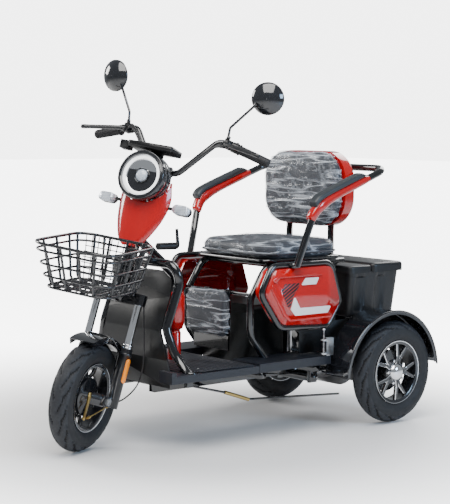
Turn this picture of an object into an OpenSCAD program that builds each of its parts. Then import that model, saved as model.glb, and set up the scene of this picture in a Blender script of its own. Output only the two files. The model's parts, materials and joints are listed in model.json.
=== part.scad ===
// Three-wheeled adult leisure tricycle with one steered front wheel.
// Forward is -Y, the rider's left is +X and up is +Z. Sizes are in millimetres.

/* [Overall] */
// Front axle to rear axle
wheelbase = 1174; // [1050:1:1420]
// Distance between the middles of the two rear tyres
rear_track = 604; // [560:1:740]
// Angle that the fork stands at when the tricycle is parked, to the left
steer_angle = 25; // [0:1:30]
// Lean of the steering axis from the vertical
rake = 18.4; // [14:0.1:22]
// How far the front axle lies ahead of the steering axis
axle_lead = 60; // [50:1:72]

/* [Wheels] */
// Outer diameter of a tyre
tyre_d = 370; // [360:1:380]
// Width of a tyre
tyre_w = 81; // [76:1:86]
// Thickness of the tyre's wall
tyre_wall = 7.5; // [6:0.5:9]
// Radius of the rim's outer lip
rim_lip_r = 114.5; // [112:0.5:118]
// Radius that the tyre's beads sit on
bead_r = 108; // [105:0.5:110]
// Width of a rim over its lips
rim_w = 62; // [58:1:66]
// Thickness of the rim's barrel
rim_wall = 6; // [4:0.5:8]
// Diameter of the front axle
front_axle_d = 16; // [12:1:18]
// Diameter of a rear wheel spindle
rear_spindle_d = 20; // [16:1:24]

/* [Fork and steering] */
// Distance between the two fork tubes
fork_spacing = 156; // [146:1:170]
// Outer diameter of a chrome fork tube
fork_tube_d = 25; // [22:1:28]
// Outer diameter of a lower fork leg
fork_leg_d = 38; // [34:1:42]
// Height along the steering axis of the lower leg's top
leg_top = 165; // [155:1:180]
// Height along the steering axis of the yoke's underside
yoke_s = 313; // [300:1:330]
// Thickness of the yoke
yoke_t = 37; // [30:1:42]
// Outer diameter of the steering stem
stem_d = 30; // [26:1:34]
// Outer diameter of the head tube
head_tube_d = 46; // [40:1:52]
// Length of the head tube
head_tube_len = 206; // [180:1:210]
// Height along the steering axis of the stem's top
stem_top = 776; // [760:1:800]

/* [Handlebar] */
// Diameter of the handlebar tube
bar_d = 22; // [20:1:25]
// Distance of the handlebar behind the steering axis at the clamp
bar_back = 88; // [76:1:100]
// Height of the clamp along the steering axis
bar_s = 788; // [775:1:810]
// Half width of the straight middle of the handlebar
bar_mid_w = 48; // [44:1:56]
// Place of the knee where the grip part starts, sideways
knee_x = 160; // [150:1:180]
// Place of the knee, behind the steering axis
knee_v = 112; // [100:1:125]
// Place of the knee, along the steering axis
knee_s = 932; // [915:1:950]
// Sweep of the grips to the rear
bar_sweep = 14.8; // [8:0.1:20]
// Droop of the grips
bar_droop = 12.2; // [5:0.1:16]
// Length of the grip part from the knee to the bar's end
bar_end_len = 184; // [176:1:200]
// Outer diameter of a grip
grip_d = 32; // [29:1:36]
// Length of a grip
grip_len = 112; // [100:1:118]
// Length of a brake lever from its pivot
lever_len = 146; // [130:1:155]
// Angle of a brake lever away from the grip
lever_open = 28.7; // [24:0.1:32]
// Diameter of a mirror
mirror_d = 112; // [95:1:125]

/* [Lamp, shield and display] */
// Outer diameter of the headlamp
lamp_d = 168; // [150:1:178]
// Depth of the headlamp body
lamp_depth = 60; // [50:1:64]
// Front of the headlamp, ahead of the steering axis
lamp_v = 80; // [74:1:90]
// Height of the headlamp along the steering axis
lamp_s = 734; // [728:1:740]
// Curve radius of the red front shield
shield_r = 140; // [130:1:170]
// Foremost line of the shield, ahead of the steering axis
shield_v = 45; // [40:1:50]
// Thickness of the moulded panels
panel_t = 3; // [2.5:0.5:4]
// Width of the display
display_w = 168; // [140:1:176]
// Depth of the display
display_len = 90; // [80:1:96]
// Thickness of the display
display_t = 18; // [14:1:22]

/* [Basket] */
// Half width of the basket's rim
basket_w = 146; // [130:1:150]
// Front of the rim, ahead of the front axle
basket_front = 200; // [180:1:215]
// Rear of the rim, behind the front axle
basket_rear = 125; // [110:1:128]
// Height of the rim
basket_top = 700; // [690:1:720]
// Height of the underside
basket_bottom = 545; // [543:1:560]
// Thickness of the basket's wall
basket_t = 4; // [3:0.5:5]
// How far the floor of the basket stands in from the rim
basket_taper = 32; // [20:1:40]

/* [Frame] */
// Width of the foot deck
deck_w = 560; // [520:1:570]
// Front of the foot deck
deck_front = 165; // [160:1:175]
// Height of the deck's underside
deck_z = 238; // [230:1:245]
// Thickness of the deck
deck_t = 24; // [20:1:28]
// Distance between the frame's two long rails
rail_gap = 200; // [180:1:220]
// Width of a rail
rail_w = 30; // [25:1:36]
// Height of a floor rail
rail_h = 54; // [45:1:56]
// Height of a rear rail's top
rear_rail_z = 380; // [374:1:384]
// Height of a rear rail
rear_rail_h = 25; // [20:1:28]
// Diameter of the front hoop's tube
hoop_d = 30; // [25:1:33]
// Half width of the front hoop
hoop_w = 168; // [160:1:176]
// Height of the front hoop's top
hoop_top = 611; // [600:1:618]
// Diameter of the down tube
down_tube_d = 34; // [30:1:38]
// Place of the centre post behind the front axle
post_y = 402; // [395:1:420]
// Diameter of the seat frame's tubes
seat_tube_d = 25; // [22:1:27]
// Half distance between the two seat rails
seat_rail_w = 170; // [160:1:176]
// Diameter of the side loops' tubes
loop_d = 22; // [20:1:24]
// Half distance between the two side loops
loop_w = 255; // [250:1:262]
// Wall of the bent tubes
tube_wall = 2.5; // [2:0.5:3]

/* [Seat] */
// Width of the seat
seat_w = 396; // [360:1:410]
// Depth of the seat
seat_len = 385; // [360:1:392]
// Height of the seat pan's underside
seat_z = 599; // [599:1:620]
// Thickness of the seat cushion
cushion_t = 68; // [50:1:80]
// Width of the backrest
back_w = 400; // [360:1:420]
// Height of the backrest
back_h = 280; // [240:1:290]
// Height of the backrest's lower edge
back_z = 703; // [695:1:720]
// Thickness of the backrest cushion
back_t = 60; // [45:1:70]
// Thickness of the red back shell
shell_t = 50; // [44:1:55]
// Diameter of the armrest rail
arm_d = 25; // [22:1:27]
// Half distance between the armrests
arm_w = 312; // [306:1:320]
// Width of the folding child seat
child_w = 230; // [200:1:250]
// Height of the folding child seat's pad
child_h = 172; // [150:1:175]
// Thickness of the folding child seat's pad
child_t = 35; // [25:1:38]

/* [Rear] */
// Half width of the storage box at its top
box_w = 215; // [200:1:222]
// Depth of the storage box
box_len = 262; // [240:1:265]
// Height of the storage box's rim
box_top = 545; // [530:1:550]
// Wall of the storage box
box_wall = 4; // [3:0.5:5]
// Radius of a rear mudguard
guard_r = 236; // [232:1:240]
// Width of a rear mudguard
guard_w = 112; // [104:1:118]
// Distance of the rear suspension's pivot ahead of the rear axle
swing_len = 326; // [310:1:340]

/* [Fits] */
// Radial gap of a running fit
run_gap = 0.05; // [0.03:0.01:0.1]
// Gap between two pieces that only lie side by side
side_gap = 0.3; // [0.2:0.05:0.5]

/* [Hidden] */
$fn = 48;
wheel_r = tyre_d / 2;
hub_v = -axle_lead * cos(rake);
hub_s = -axle_lead * sin(rake);
rear_y = wheelbase;
deck_top = deck_z + deck_t;
pivot_y = rear_y - swing_len;
seat_back_y = rear_y - 144;
seat_front_y = seat_back_y - seat_len;
bar_y = seat_front_y - 47;
deck_rear = seat_front_y - 100;
side_x = loop_w + loop_d / 2;
box_front = rear_y - 129;
box_z = rear_rail_z + side_gap;
guard_y = rear_y - 34;
guard_z = 175;
guard_in = rear_track / 2 - 68;
child_hinge = [bar_y, 489];
latch_x = 272;
head_from = yoke_s + yoke_t + 2;

// From the fork's own axes, where the last number runs up the steering axis, to the tricycle's axes
function from_fork(p) = [p.x,
    axle_lead + p.y * cos(rake) + p.z * sin(rake),
    wheel_r - p.y * sin(rake) + p.z * cos(rake)];
function to_fork(p) = [p.x,
    (p.y - axle_lead) * cos(rake) - (p.z - wheel_r) * sin(rake),
    (p.y - axle_lead) * sin(rake) + (p.z - wheel_r) * cos(rake)];
function turned(p) = [p.x * cos(steer_angle) - p.y * sin(steer_angle),
    p.x * sin(steer_angle) + p.y * cos(steer_angle), p.z];
bar_dir = [cos(bar_droop) * cos(bar_sweep), cos(bar_droop) * sin(bar_sweep), -sin(bar_droop)];
knee = [knee_x, knee_v, knee_s];
grip_end = knee + bar_dir * (bar_end_len + 4);

down_start = from_fork([0, 0, head_from + head_tube_len - 18]);
down_bend = [0, post_y, 555];

// The origin lies on the ground under the middle of the whole outline
basket_r = 60;
right_end = from_fork(turned([-grip_end.x, grip_end.y, grip_end.z])).x - grip_d * 0.14;
left_end = guard_in + guard_w;
front_corner = from_fork(turned(to_fork([basket_r - basket_w, basket_r - basket_front, basket_top])));
front_end = front_corner.y - basket_r;
rear_end = guard_y + guard_r;
centre_x = (right_end + left_end) / 2;
centre_y = (front_end + rear_end) / 2;

// ---- placing ----

module chassis() {
    translate([-centre_x, -centre_y, 0]) children();
}

module fork_space() {
    chassis() translate([0, axle_lead, wheel_r]) rotate([-rake, 0, 0]) rotate([0, 0, steer_angle])
        children();
}

module steered() {
    fork_space() rotate([rake, 0, 0]) translate([0, -axle_lead, -wheel_r]) children();
}

module both_sides() {
    children();
    mirror([1, 0, 0]) children();
}

module bar_end() {
    translate(knee) rotate([0, bar_droop, bar_sweep]) children();
}

module at_wheel(x, y) {
    translate([x, y, wheel_r]) rotate([0, 90, 0]) children();
}

// ---- tubes ----

function unit(v) = v / norm(v);

// The middle of a bent tube as a list of [place, direction], with a step for every 20 degrees of bend
function bend_steps(a, b, c, r) =
    let (before = unit(b - a), after = unit(c - b), turn = acos(before * after),
        side = unit(after - before * (after * before)), start = b - before * r * tan(turn / 2),
        steps = max(1, ceil(turn / 20)))
    [for (k = [0:steps]) let (q = turn * k / steps)
        [start + side * r * (1 - cos(q)) + before * r * sin(q), before * cos(q) + side * sin(q)]];

function tube_line(p, r, closed) =
    let (n = len(p))
    concat(closed ? [] : [[p[0], unit(p[1] - p[0])]],
        [for (i = closed ? [0:n - 1] : [1:n - 2]) each bend_steps(p[(i + n - 1) % n], p[i], p[(i + 1) % n], r)],
        closed ? [] : [[p[n - 1], unit(p[n - 1] - p[n - 2])]]);

function carried(line, side, i = 0) =
    i == len(line) ? [] :
    let (m = unit(side - line[i][1] * (side * line[i][1])))
    concat([m], carried(line, m, i + 1));

module rod(a, b, d) {
    v = b - a;
    translate(a) rotate([0, acos(v.z / norm(v)), atan2(v.y, v.x)]) cylinder(d = d, h = norm(v));
}

module bent_tube(p, d, r, wall = 0, closed = false, sides = 16) {
    line = tube_line(p, r, closed);
    n = len(line);
    first = line[0][1];
    normals = carried(line, abs(first.x) < 0.7 ? [1, 0, 0] : [0, 0, 1]);
    radii = wall > 0 ? [d / 2, d / 2 - wall] : [d / 2];
    points = [for (q = radii, i = [0:n - 1], j = [0:sides - 1])
        let (angle = 360 * (j + 0.5) / sides)
        line[i][0] + (normals[i] * cos(angle) + cross(line[i][1], normals[i]) * sin(angle)) * q];
    last = closed ? n - 1 : n - 2;
    m = n * sides;
    end = (n - 1) * sides;
    outside = [for (i = [0:last], j = [0:sides - 1])
        let (k = (i + 1) % n * sides, h = (j + 1) % sides)
        [i * sides + j, k + j, k + h, i * sides + h]];
    inside = wall > 0 ? [for (f = outside) [f[3] + m, f[2] + m, f[1] + m, f[0] + m]] : [];
    discs = [[for (j = [0:sides - 1]) j], [for (j = [sides - 1:-1:0]) end + j]];
    collars = [for (j = [0:sides - 1]) let (h = (j + 1) % sides)
        each [[j, h, m + h, m + j], [end + m + j, end + m + h, end + h, end + j]]];
    polyhedron(points, concat(outside, inside, closed ? [] : wall > 0 ? collars : discs), convexity = 10);
}

module slab(w, l, h, r) {
    linear_extrude(h) union() {
        square([w - 2 * r, l], center = true);
        square([w, l - 2 * r], center = true);
        for (x = [r - w / 2, w / 2 - r], y = [r - l / 2, l / 2 - r]) translate([x, y]) circle(r = r);
    }
}

// ---- wheels ----

module tyre() {
    mid = wheel_r - tyre_w / 2;
    waist = mid - 14.5;
    outer = tyre_w / 2;
    inner = outer - tyre_wall;
    seat = rim_w / 2 - 4;
    rotate_extrude($fn = 96) difference() {
        union() {
            translate([mid, 0]) circle(r = outer);
            polygon([[bead_r, -seat], [rim_lip_r + 0.8, -seat], [waist, -sqrt(outer * outer - 210.25)],
                [waist, sqrt(outer * outer - 210.25)], [rim_lip_r + 0.8, seat], [bead_r, seat]]);
        }
        translate([mid, 0]) circle(r = inner);
        polygon([[bead_r - 1, -17.5], [waist, -sqrt(inner * inner - 210.25)],
            [waist, sqrt(inner * inner - 210.25)], [bead_r - 1, 17.5]]);
        translate([0, -tyre_w]) square([bead_r + side_gap, 2 * tyre_w]);
    }
}

module rim_barrel() {
    lip_t = 3.7;
    barrel_in = bead_r - rim_wall;
    rotate_extrude($fn = 96) union() {
        translate([barrel_in, -rim_w / 2]) square([rim_wall, rim_w]);
        translate([barrel_in, -rim_w / 2]) square([rim_lip_r - barrel_in, lip_t]);
        translate([barrel_in, rim_w / 2 - lip_t]) square([rim_lip_r - barrel_in, lip_t]);
    }
}

module split_spokes(count, t) {
    reach = bead_r - rim_wall + 0.5;
    for (i = [0:count - 1]) rotate(i * 360 / count) linear_extrude(t) union() {
        polygon([[18, -10], [56, -9], [66, 0], [56, 9], [18, 10]]);
        polygon([[50, -9], [reach, -30], [reach, -18], [62, 0]]);
        polygon([[50, 9], [reach, 30], [reach, 18], [62, 0]]);
    }
}

module rear_rim() {
    bore_r = rear_spindle_d / 2 + run_gap;
    hub_in = -32;
    hub_out = 26;
    difference() {
        union() {
            rim_barrel();
            translate([0, 0, 12]) split_spokes(5, 12);
            translate([0, 0, hub_in]) cylinder(r = 24, h = hub_out - hub_in);
            translate([0, 0, hub_in]) cylinder(r = 76, h = 8);
            translate([0, 0, 4]) cylinder(r = 34, h = 18);
        }
        translate([0, 0, hub_in - 1]) cylinder(r = bore_r, h = hub_out - hub_in + 2);
    }
}

module front_rim_shape() {
    bore_r = front_axle_d / 2 + run_gap;
    drum_in = -28;
    drum_out = 9;
    difference() {
        union() {
            rim_barrel();
            translate([0, 0, -24]) split_spokes(5, 10);
            translate([0, 0, drum_in]) cylinder(r = 64, h = drum_out - drum_in);
        }
        translate([0, 0, drum_in + 7]) difference() {
            cylinder(r = 57, h = drum_out - drum_in);
            cylinder(r = 16, h = 26);
        }
        translate([0, 0, drum_in - 1]) cylinder(r = bore_r, h = drum_out - drum_in + 2);
    }
}

module rear_rim_left() {
    color("silver") chassis() at_wheel(rear_track / 2, rear_y) rear_rim();
}

module rear_rim_right() {
    color("silver") chassis() mirror([1, 0, 0]) at_wheel(rear_track / 2, rear_y) rear_rim();
}

module rear_tyre_left() {
    color("#222222") chassis() at_wheel(rear_track / 2, rear_y) tyre();
}

module rear_tyre_right() {
    color("#222222") chassis() mirror([1, 0, 0]) at_wheel(rear_track / 2, rear_y) tyre();
}

module front_rim() {
    color("silver") steered() at_wheel(0, 0) front_rim_shape();
}

module front_tyre() {
    color("#222222") steered() at_wheel(0, 0) tyre();
}

// ---- fork ----

module fork_tubes() {
    color("gainsboro") fork_space() both_sides() translate([fork_spacing / 2, 0, 60])
        difference() {
            cylinder(d = fork_tube_d, h = yoke_s + yoke_t - 60);
            translate([0, 0, -1]) cylinder(d = fork_tube_d - 6, h = yoke_s + yoke_t - 50);
        }
}

module fork_legs() {
    bore_d = fork_tube_d + 2 * run_gap;
    foot_s = hub_s - 16;
    color("#1c1c1e") fork_space() both_sides() difference() {
        union() {
            translate([fork_spacing / 2, 0, foot_s]) cylinder(d = fork_leg_d, h = leg_top - foot_s);
            translate([fork_spacing / 2, 0, leg_top - 22]) cylinder(d = fork_leg_d + 4, h = 8);
            translate([fork_spacing / 2 - 7, hub_v - 16, hub_s - 16]) cube([14, -hub_v + 16, 32]);
        }
        translate([fork_spacing / 2, 0, 10]) cylinder(d = bore_d, h = leg_top);
        translate([0, hub_v, hub_s]) rotate([0, 90, 0])
            cylinder(d = front_axle_d + 2 * run_gap, h = fork_spacing);
    }
}

module front_axle() {
    head = fork_spacing / 2 + 7 + side_gap;
    color("silver") fork_space() translate([0, hub_v, hub_s]) rotate([0, 90, 0]) union() {
        translate([0, 0, -head]) cylinder(d = front_axle_d, h = 2 * head);
        for (z = [-head - 10, head]) translate([0, 0, z]) cylinder(d = 26, h = 10, $fn = 6);
    }
}

brake_pivot = [-33, 7];
brake_arm_len = 77;

module at_brake_pivot() {
    fork_space() translate([0, hub_v + brake_pivot.x, hub_s + brake_pivot.y]) children();
}

module front_brake_plate() {
    face = 9.6;
    lug_x = fork_spacing / 2 - 7 - side_gap;
    color("#26282b") difference() {
        union() {
            fork_space() translate([0, hub_v, hub_s]) rotate([0, 90, 0]) {
                translate([0, 0, face]) cylinder(r = 63, h = 4);
                translate([0, 0, face]) cylinder(r = 20, h = lug_x - face);
            }
            at_brake_pivot() rotate([0, 90, 0]) translate([0, 0, face]) cylinder(r = 10, h = 24);
            fork_space() rod([13, -8, -19], [51.8, 46, -22.8], 9);
        }
        fork_space() translate([0, hub_v, hub_s]) rotate([0, 90, 0])
            cylinder(d = front_axle_d + 2 * run_gap, h = 100);
        at_brake_pivot() rotate([0, 90, 0]) translate([0, 0, face + 12]) cylinder(r = 5 + run_gap, h = 14);
    }
}

module front_brake_arm() {
    face = 34;
    color("goldenrod") at_brake_pivot() rotate([0, 90, 0]) union() {
        translate([0, 0, face - 9]) cylinder(r = 5, h = 14);
        translate([0, 0, face]) linear_extrude(5) union() {
            circle(r = 10);
            polygon([[0, -8], [brake_arm_len, -5], [brake_arm_len, 5], [0, 8]]);
            translate([brake_arm_len, 0]) circle(r = 7);
        }
    }
}

module front_mudguard() {
    inner = wheel_r + 15;
    half_w = tyre_w / 2 + 6;
    front_reach = 32;
    rear_reach = 34;
    stay_x = fork_spacing / 2 - fork_leg_d / 2 - side_gap - 6;
    stay_top = hub_s + inner + 6;
    stay = [[stay_x, 8, 66], [stay_x, -2, 150], [stay_x, -72, stay_top]];
    color("#151517") union() {
        steered() at_wheel(0, 0) rotate(180 - rake - front_reach)
            rotate_extrude(angle = front_reach + rear_reach, $fn = 96) translate([inner, 0])
                difference() {
                    translate([-18, -half_w]) square([22, 2 * half_w]);
                    translate([-19, panel_t - half_w]) square([19, 2 * (half_w - panel_t)]);
                }
        fork_space() bent_tube(concat(stay, [for (i = [2:-1:0]) [-stay[i].x, stay[i].y, stay[i].z]]), 8, 24);
    }
}

// ---- steering column ----

module steering_stem() {
    clamp_w = 44;
    reach = bar_back + 20;
    color("#1d1d20") fork_space() difference() {
        union() {
            translate([0, 0, yoke_s]) cylinder(d = stem_d, h = stem_top - yoke_s);
            translate([0, 0, yoke_s]) linear_extrude(yoke_t) union() {
                for (x = [-fork_spacing / 2, fork_spacing / 2]) translate([x, 0]) circle(r = 22);
                square([fork_spacing, 36], center = true);
                circle(r = 28);
            }
            translate([-clamp_w / 2, -18, stem_top]) cube([clamp_w, bar_back + 18, 24]);
            translate([-clamp_w / 2, bar_back, bar_s]) rotate([0, 90, 0]) cylinder(r = 20, h = clamp_w);
            translate([-8, 2 * side_gap + panel_t - shield_v, 566]) cube([16, shield_v - panel_t, 30]);
        }
        for (x = [-fork_spacing / 2, fork_spacing / 2])
            translate([x, 0, yoke_s - 1]) cylinder(d = fork_tube_d + 2 * run_gap, h = yoke_t + 2);
        translate([-reach, bar_back, bar_s]) rotate([0, 90, 0])
            cylinder(d = bar_d + 2 * run_gap, h = 2 * reach);
    }
}

module handlebar() {
    mid = [bar_mid_w, bar_back, bar_s];
    inner_d = bar_d - 2 * tube_wall;
    bend_d = bar_d - 0.6;
    from_knee = 20;
    flip = [[-1, 0, 0], [0, 1, 0], [0, 0, 1]];
    joint = knee + bar_dir * (from_knee + 3);
    color("#17181a") fork_space() union() {
        translate([-28, bar_back, bar_s]) rotate([0, 90, 0]) cylinder(d = bar_d, h = 56);
        both_sides() {
            bar_end() translate([from_knee, 0, 0]) rotate([0, 90, 0]) difference() {
                cylinder(d = bar_d, h = bar_end_len - from_knee);
                translate([0, 0, 6]) cylinder(d = inner_d, h = bar_end_len);
            }
            bent_tube([[26, bar_back, bar_s], mid, knee, joint], bend_d, 34);
        }
    }
}

module grip() {
    bore = bar_d + 2 * run_gap;
    start = bar_end_len - grip_len + 2;
    rotate([0, 90, 0]) difference() {
        union() {
            translate([0, 0, start]) cylinder(d = grip_d, h = grip_len + 2);
            translate([0, 0, start]) cylinder(d = grip_d + 6, h = 4);
        }
        translate([0, 0, start - 1]) cylinder(d = bore, h = bar_end_len - start + 1 + side_gap);
    }
}

module grip_left() {
    color("#222222") fork_space() bar_end() grip();
}

module throttle_grip() {
    color("#222222") fork_space() mirror([1, 0, 0]) bar_end() grip();
}

lever_pivot = [34, -35, -8];
lever_t = 7;

module perch() {
    ring_from = 24;
    ring_len = 20;
    difference() {
        union() {
            translate([ring_from, 0, 0]) rotate([0, 90, 0]) cylinder(d = bar_d + 12, h = ring_len);
            translate([ring_from, -30, lever_pivot.z - 9]) cube([ring_len, 24, 18]);
            translate([lever_pivot.x, lever_pivot.y, lever_pivot.z - 9]) cylinder(r = 9, h = 18);
            translate([ring_from - 4, -28, 0]) cube([18, 20, 13]);
        }
        translate([0, 0, 0]) rotate([0, 90, 0]) cylinder(d = bar_d + 2 * run_gap, h = 60);
        translate([lever_pivot.x - 20, lever_pivot.y - 20, lever_pivot.z - lever_t / 2 - side_gap])
            cube([40, 32, lever_t + 2 * side_gap]);
    }
    translate([lever_pivot.x, lever_pivot.y, lever_pivot.z - 9]) cylinder(d = 6, h = 18);
}

module switch_pod() {
    rotate([0, 90, 0]) difference() {
        union() {
            translate([0, 0, 48]) cylinder(d = bar_d + 14, h = 22);
            translate([-14, 10, 59]) rotate([-90, 0, 0]) cylinder(d = 18, h = 12);
        }
        translate([0, 0, 40]) cylinder(d = bar_d + 2 * run_gap, h = 40);
    }
}

module bar_controls() {
    color("#1a1a1c") fork_space() {
        both_sides() bar_end() perch();
        bar_end() switch_pod();
    }
}

module brake_lever() {
    translate([lever_pivot.x, lever_pivot.y, lever_pivot.z - lever_t / 2]) rotate(-lever_open)
        difference() {
            linear_extrude(lever_t) union() {
                circle(r = 8.5);
                polygon([[0, -8], [40, -9], [lever_len, -4], [lever_len, 5], [50, 5], [0, 8]]);
                translate([lever_len, 0]) circle(r = 7);
            }
            translate([0, 0, -1]) cylinder(d = 6 + 2 * run_gap, h = lever_t + 2);
        }
}

module brake_lever_left() {
    color("#202022") fork_space() bar_end() brake_lever();
}

module brake_lever_right() {
    color("#202022") fork_space() mirror([1, 0, 0]) bar_end() brake_lever();
}

mirror_foot = [27, -20, 13];
mirror_at = [297, 507, 1197];
mirror_toe = 14;

module mirror_shape() {
    dome = 26;
    dome_r = (mirror_d * mirror_d / 4 + dome * dome) / (2 * dome);
    rim_angle = asin(mirror_d / 2 / dome_r);
    foot = knee + [[cos(bar_droop) * cos(bar_sweep), -sin(bar_sweep), sin(bar_droop) * cos(bar_sweep)],
        [cos(bar_droop) * sin(bar_sweep), cos(bar_sweep), sin(bar_droop) * sin(bar_sweep)],
        [-sin(bar_droop), 0, cos(bar_droop)]] * (mirror_foot + [0, 0, side_gap]);
    head = to_fork(mirror_at + [-34, -14, -24]);
    bent_tube([foot + [0, 0, 4], foot + [2, -10, 38], head], 9, 12);
    bar_end() translate(mirror_foot + [0, 0, side_gap]) cylinder(d = 14, h = 11);
    rotate([rake, 0, 0]) translate([0, -axle_lead, -wheel_r]) translate(mirror_at)
        rotate([90, 0, mirror_toe]) rotate_extrude() polygon(concat([[0, -5], [mirror_d / 2, -5]],
            [for (i = [0:7]) let (q = rim_angle * (1 - i / 8))
                [dome_r * sin(q), dome - dome_r + dome_r * cos(q)]], [[0, dome]]));
}

module mirror_left() {
    color("#111214") fork_space() mirror_shape();
}

module mirror_right() {
    color("#111214") fork_space() mirror([1, 0, 0]) mirror_shape();
}

module at_lamp() {
    translate([0, -lamp_v, lamp_s]) rotate([-90, 0, 0]) children();
}

module headlamp_housing() {
    r = lamp_d / 2;
    back_r = 46;
    color("#141416") fork_space() {
        at_lamp() rotate_extrude($fn = 96) polygon([[r - 14, 0], [r - 2, 0], [r, 3], [r, 32],
            [r - 10, 46], [back_r, lamp_depth], [0, lamp_depth], [0, lamp_depth - 4], [back_r, lamp_depth - 4],
            [r - 14, 43], [r - 4, 31], [r - 4, 12], [r - 14, 8]]);
        translate([-14, lamp_depth - lamp_v, lamp_s - 14])
            cube([28, lamp_v - lamp_depth - stem_d / 2 - 0.1, 28]);
    }
}

module headlamp_lens() {
    r = lamp_d / 2 - 14 - side_gap;
    color("#dfe8f2") fork_space() at_lamp() translate([0, 0, 2]) cylinder(r = r, h = 4, $fn = 96);
}

shield_half = [[0, 498], [26, 503], [46, 519], [62, 545], [80, 590], [96, 650], [103, 705],
    [101, 755], [90, 790], [70, 808], [0, 814]];

module shield_outline() {
    n = len(shield_half);
    polygon(concat(shield_half, [for (i = [n - 2:-1:1]) [-shield_half[i].x, shield_half[i].y]]));
}

module front_shield() {
    color("red") fork_space() difference() {
        intersection() {
            translate([0, shield_r - shield_v, 490]) linear_extrude(330)
                difference() {
                    circle(r = shield_r, $fn = 96);
                    circle(r = shield_r - panel_t, $fn = 96);
                }
            rotate([90, 0, 0]) translate([0, 0, -40]) linear_extrude(100) shield_outline();
        }
        translate([0, 0, lamp_s]) rotate([90, 0, 0])
            cylinder(d = lamp_d + 2 * side_gap, h = 200, $fn = 96);
    }
}

module turn_signals() {
    signal_x = 141;
    signal_v = 5;
    signal_s = 653;
    half = 14;
    color("#c8d2de") fork_space() both_sides() union() {
        rod([stem_d / 2 + side_gap, signal_v, signal_s], [signal_x - half - 12, signal_v, signal_s], 9);
        translate([signal_x, signal_v + 16, signal_s]) rotate([90, 0, 0]) linear_extrude(32) union() {
            for (x = [-half, half]) translate([x, 0]) circle(r = 16);
            square([2 * half, 32], center = true);
        }
    }
}

module display_unit() {
    front = -70;
    low = 829;
    top_of_clamp = stem_top + 24;
    color("#1b1d20") fork_space() union() {
        translate([0, front + display_len / 2, low]) slab(display_w, display_len, display_t, 10);
        translate([-18, -16, top_of_clamp]) cube([36, 32, low - top_of_clamp]);
        translate([-display_w / 2 - 34, front + 14, low - 10]) cube([34, 36, 28]);
    }
}

// ---- basket ----

module basket_shape(w, front, rear, z0, z1, inset) {
    r = basket_r;
    hull() {
        for (x = [r - w, w - r], y = [r - front, rear - r]) translate([x, y, z1 - 1])
            cylinder(r = r, h = 1, $fn = 32);
        for (x = [r + inset - w, w - r - inset], y = [r + 1.9 * inset - front, rear - r - inset])
            translate([x, y, z0]) cylinder(r = r, h = 1, $fn = 32);
    }
}

module basket() {
    t = basket_t;
    color("#18191b") steered() difference() {
        basket_shape(basket_w, basket_front, basket_rear, basket_bottom, basket_top, basket_taper);
        basket_shape(basket_w - t, basket_front - t, basket_rear - t, basket_bottom + t, basket_top + 2,
            basket_taper);
    }
}

module basket_bracket() {
    x = 62;
    d = 8;
    low = basket_bottom - side_gap - d / 2;
    joint = from_fork([x, -18 - side_gap - d / 2 + 6.6, yoke_s + yoke_t / 2]);
    back = basket_rear + side_gap + d / 2;
    color("#18191b") steered() both_sides()
        bent_tube([[x, back, basket_top - 6], joint, [x, 70, low], [x, -90, low]], d, 11, sides = 12);
}

cable_route = [[84, 26, 348], [84, 28, 300], [106, 20, 241], [118, 62, 116], [110, 83, 64],
    [92, 82, 24], [60.7, 64, -9.4], [43, -80, -87]];

module front_brake_cable() {
    color("#101010") fork_space() bent_tube(cable_route, 5, 24, sides = 10);
}

// ---- frame ----

module main_frame() {
    half = rail_gap / 2;
    upright_y = pivot_y - 48;
    rear_end_y = box_front + box_len - 6;
    low = deck_z - rail_h;
    lug_x = 218;
    lug_t = 12;
    color("#161719") chassis() difference() {
        union() {
            for (x = [-half, half]) {
                translate([x - rail_w / 2, 226, low]) cube([rail_w, upright_y - 226, rail_h]);
                translate([x - rail_w / 2, upright_y, low]) cube([rail_w, 30, rear_rail_z - low]);
                translate([x - rail_w / 2, upright_y, rear_rail_z - rear_rail_h])
                    cube([rail_w, rear_end_y - upright_y, rear_rail_h]);
            }
            for (y = [250, post_y - 18, deck_rear + 15]) translate([-half, y, low + 14])
                cube([2 * half, 36, rail_h - 14]);
            for (y = [deck_rear + 15, pivot_y - 33]) translate([-264, y, deck_z - 24])
                cube([528, 30, 24]);
            translate([-lug_x - lug_t, pivot_y - 18, deck_z - 24]) cube([2 * (lug_x + lug_t), 36, 24]);
            for (x = [-lug_x - lug_t, lug_x]) translate([x, pivot_y - 18, 168]) cube([lug_t, 36, 60]);
            for (x = [-lug_x - lug_t - 10, lug_x + lug_t]) translate([x, pivot_y, 186])
                rotate([0, 90, 0]) cylinder(d = 26, h = 10);
            translate([-lug_x - lug_t, pivot_y, 186]) rotate([0, 90, 0])
                cylinder(d = 16, h = 2 * (lug_x + lug_t));
            for (y = [rear_y - 105, rear_end_y - 30]) translate([-190, y, rear_rail_z - rear_rail_h])
                cube([380, 30, rear_rail_h]);
            translate([0, axle_lead, wheel_r]) rotate([-rake, 0, 0]) translate([0, 0, head_from])
                cylinder(d = head_tube_d, h = head_tube_len);
            bent_tube([down_start, down_bend, [0, post_y, 500]], down_tube_d - 0.6, 40);
            translate([0, post_y, deck_z - 20]) cylinder(d = down_tube_d, h = 505 - deck_z + 20);
        }
        translate([0, axle_lead, wheel_r]) rotate([-rake, 0, 0]) translate([0, 0, head_from - 1])
            cylinder(d = stem_d + 2 * run_gap, h = head_tube_len + 2);
    }
}

hoop_side = [[hoop_w, 269, hoop_top], [hoop_w, 286, 547], [hoop_w, 230, 402],
    [hoop_w + 30, 240, 324], [252, 268, 250]];
hoop_path = concat([for (i = [4:-1:0]) [-hoop_side[i].x, hoop_side[i].y, hoop_side[i].z]], hoop_side);

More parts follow.
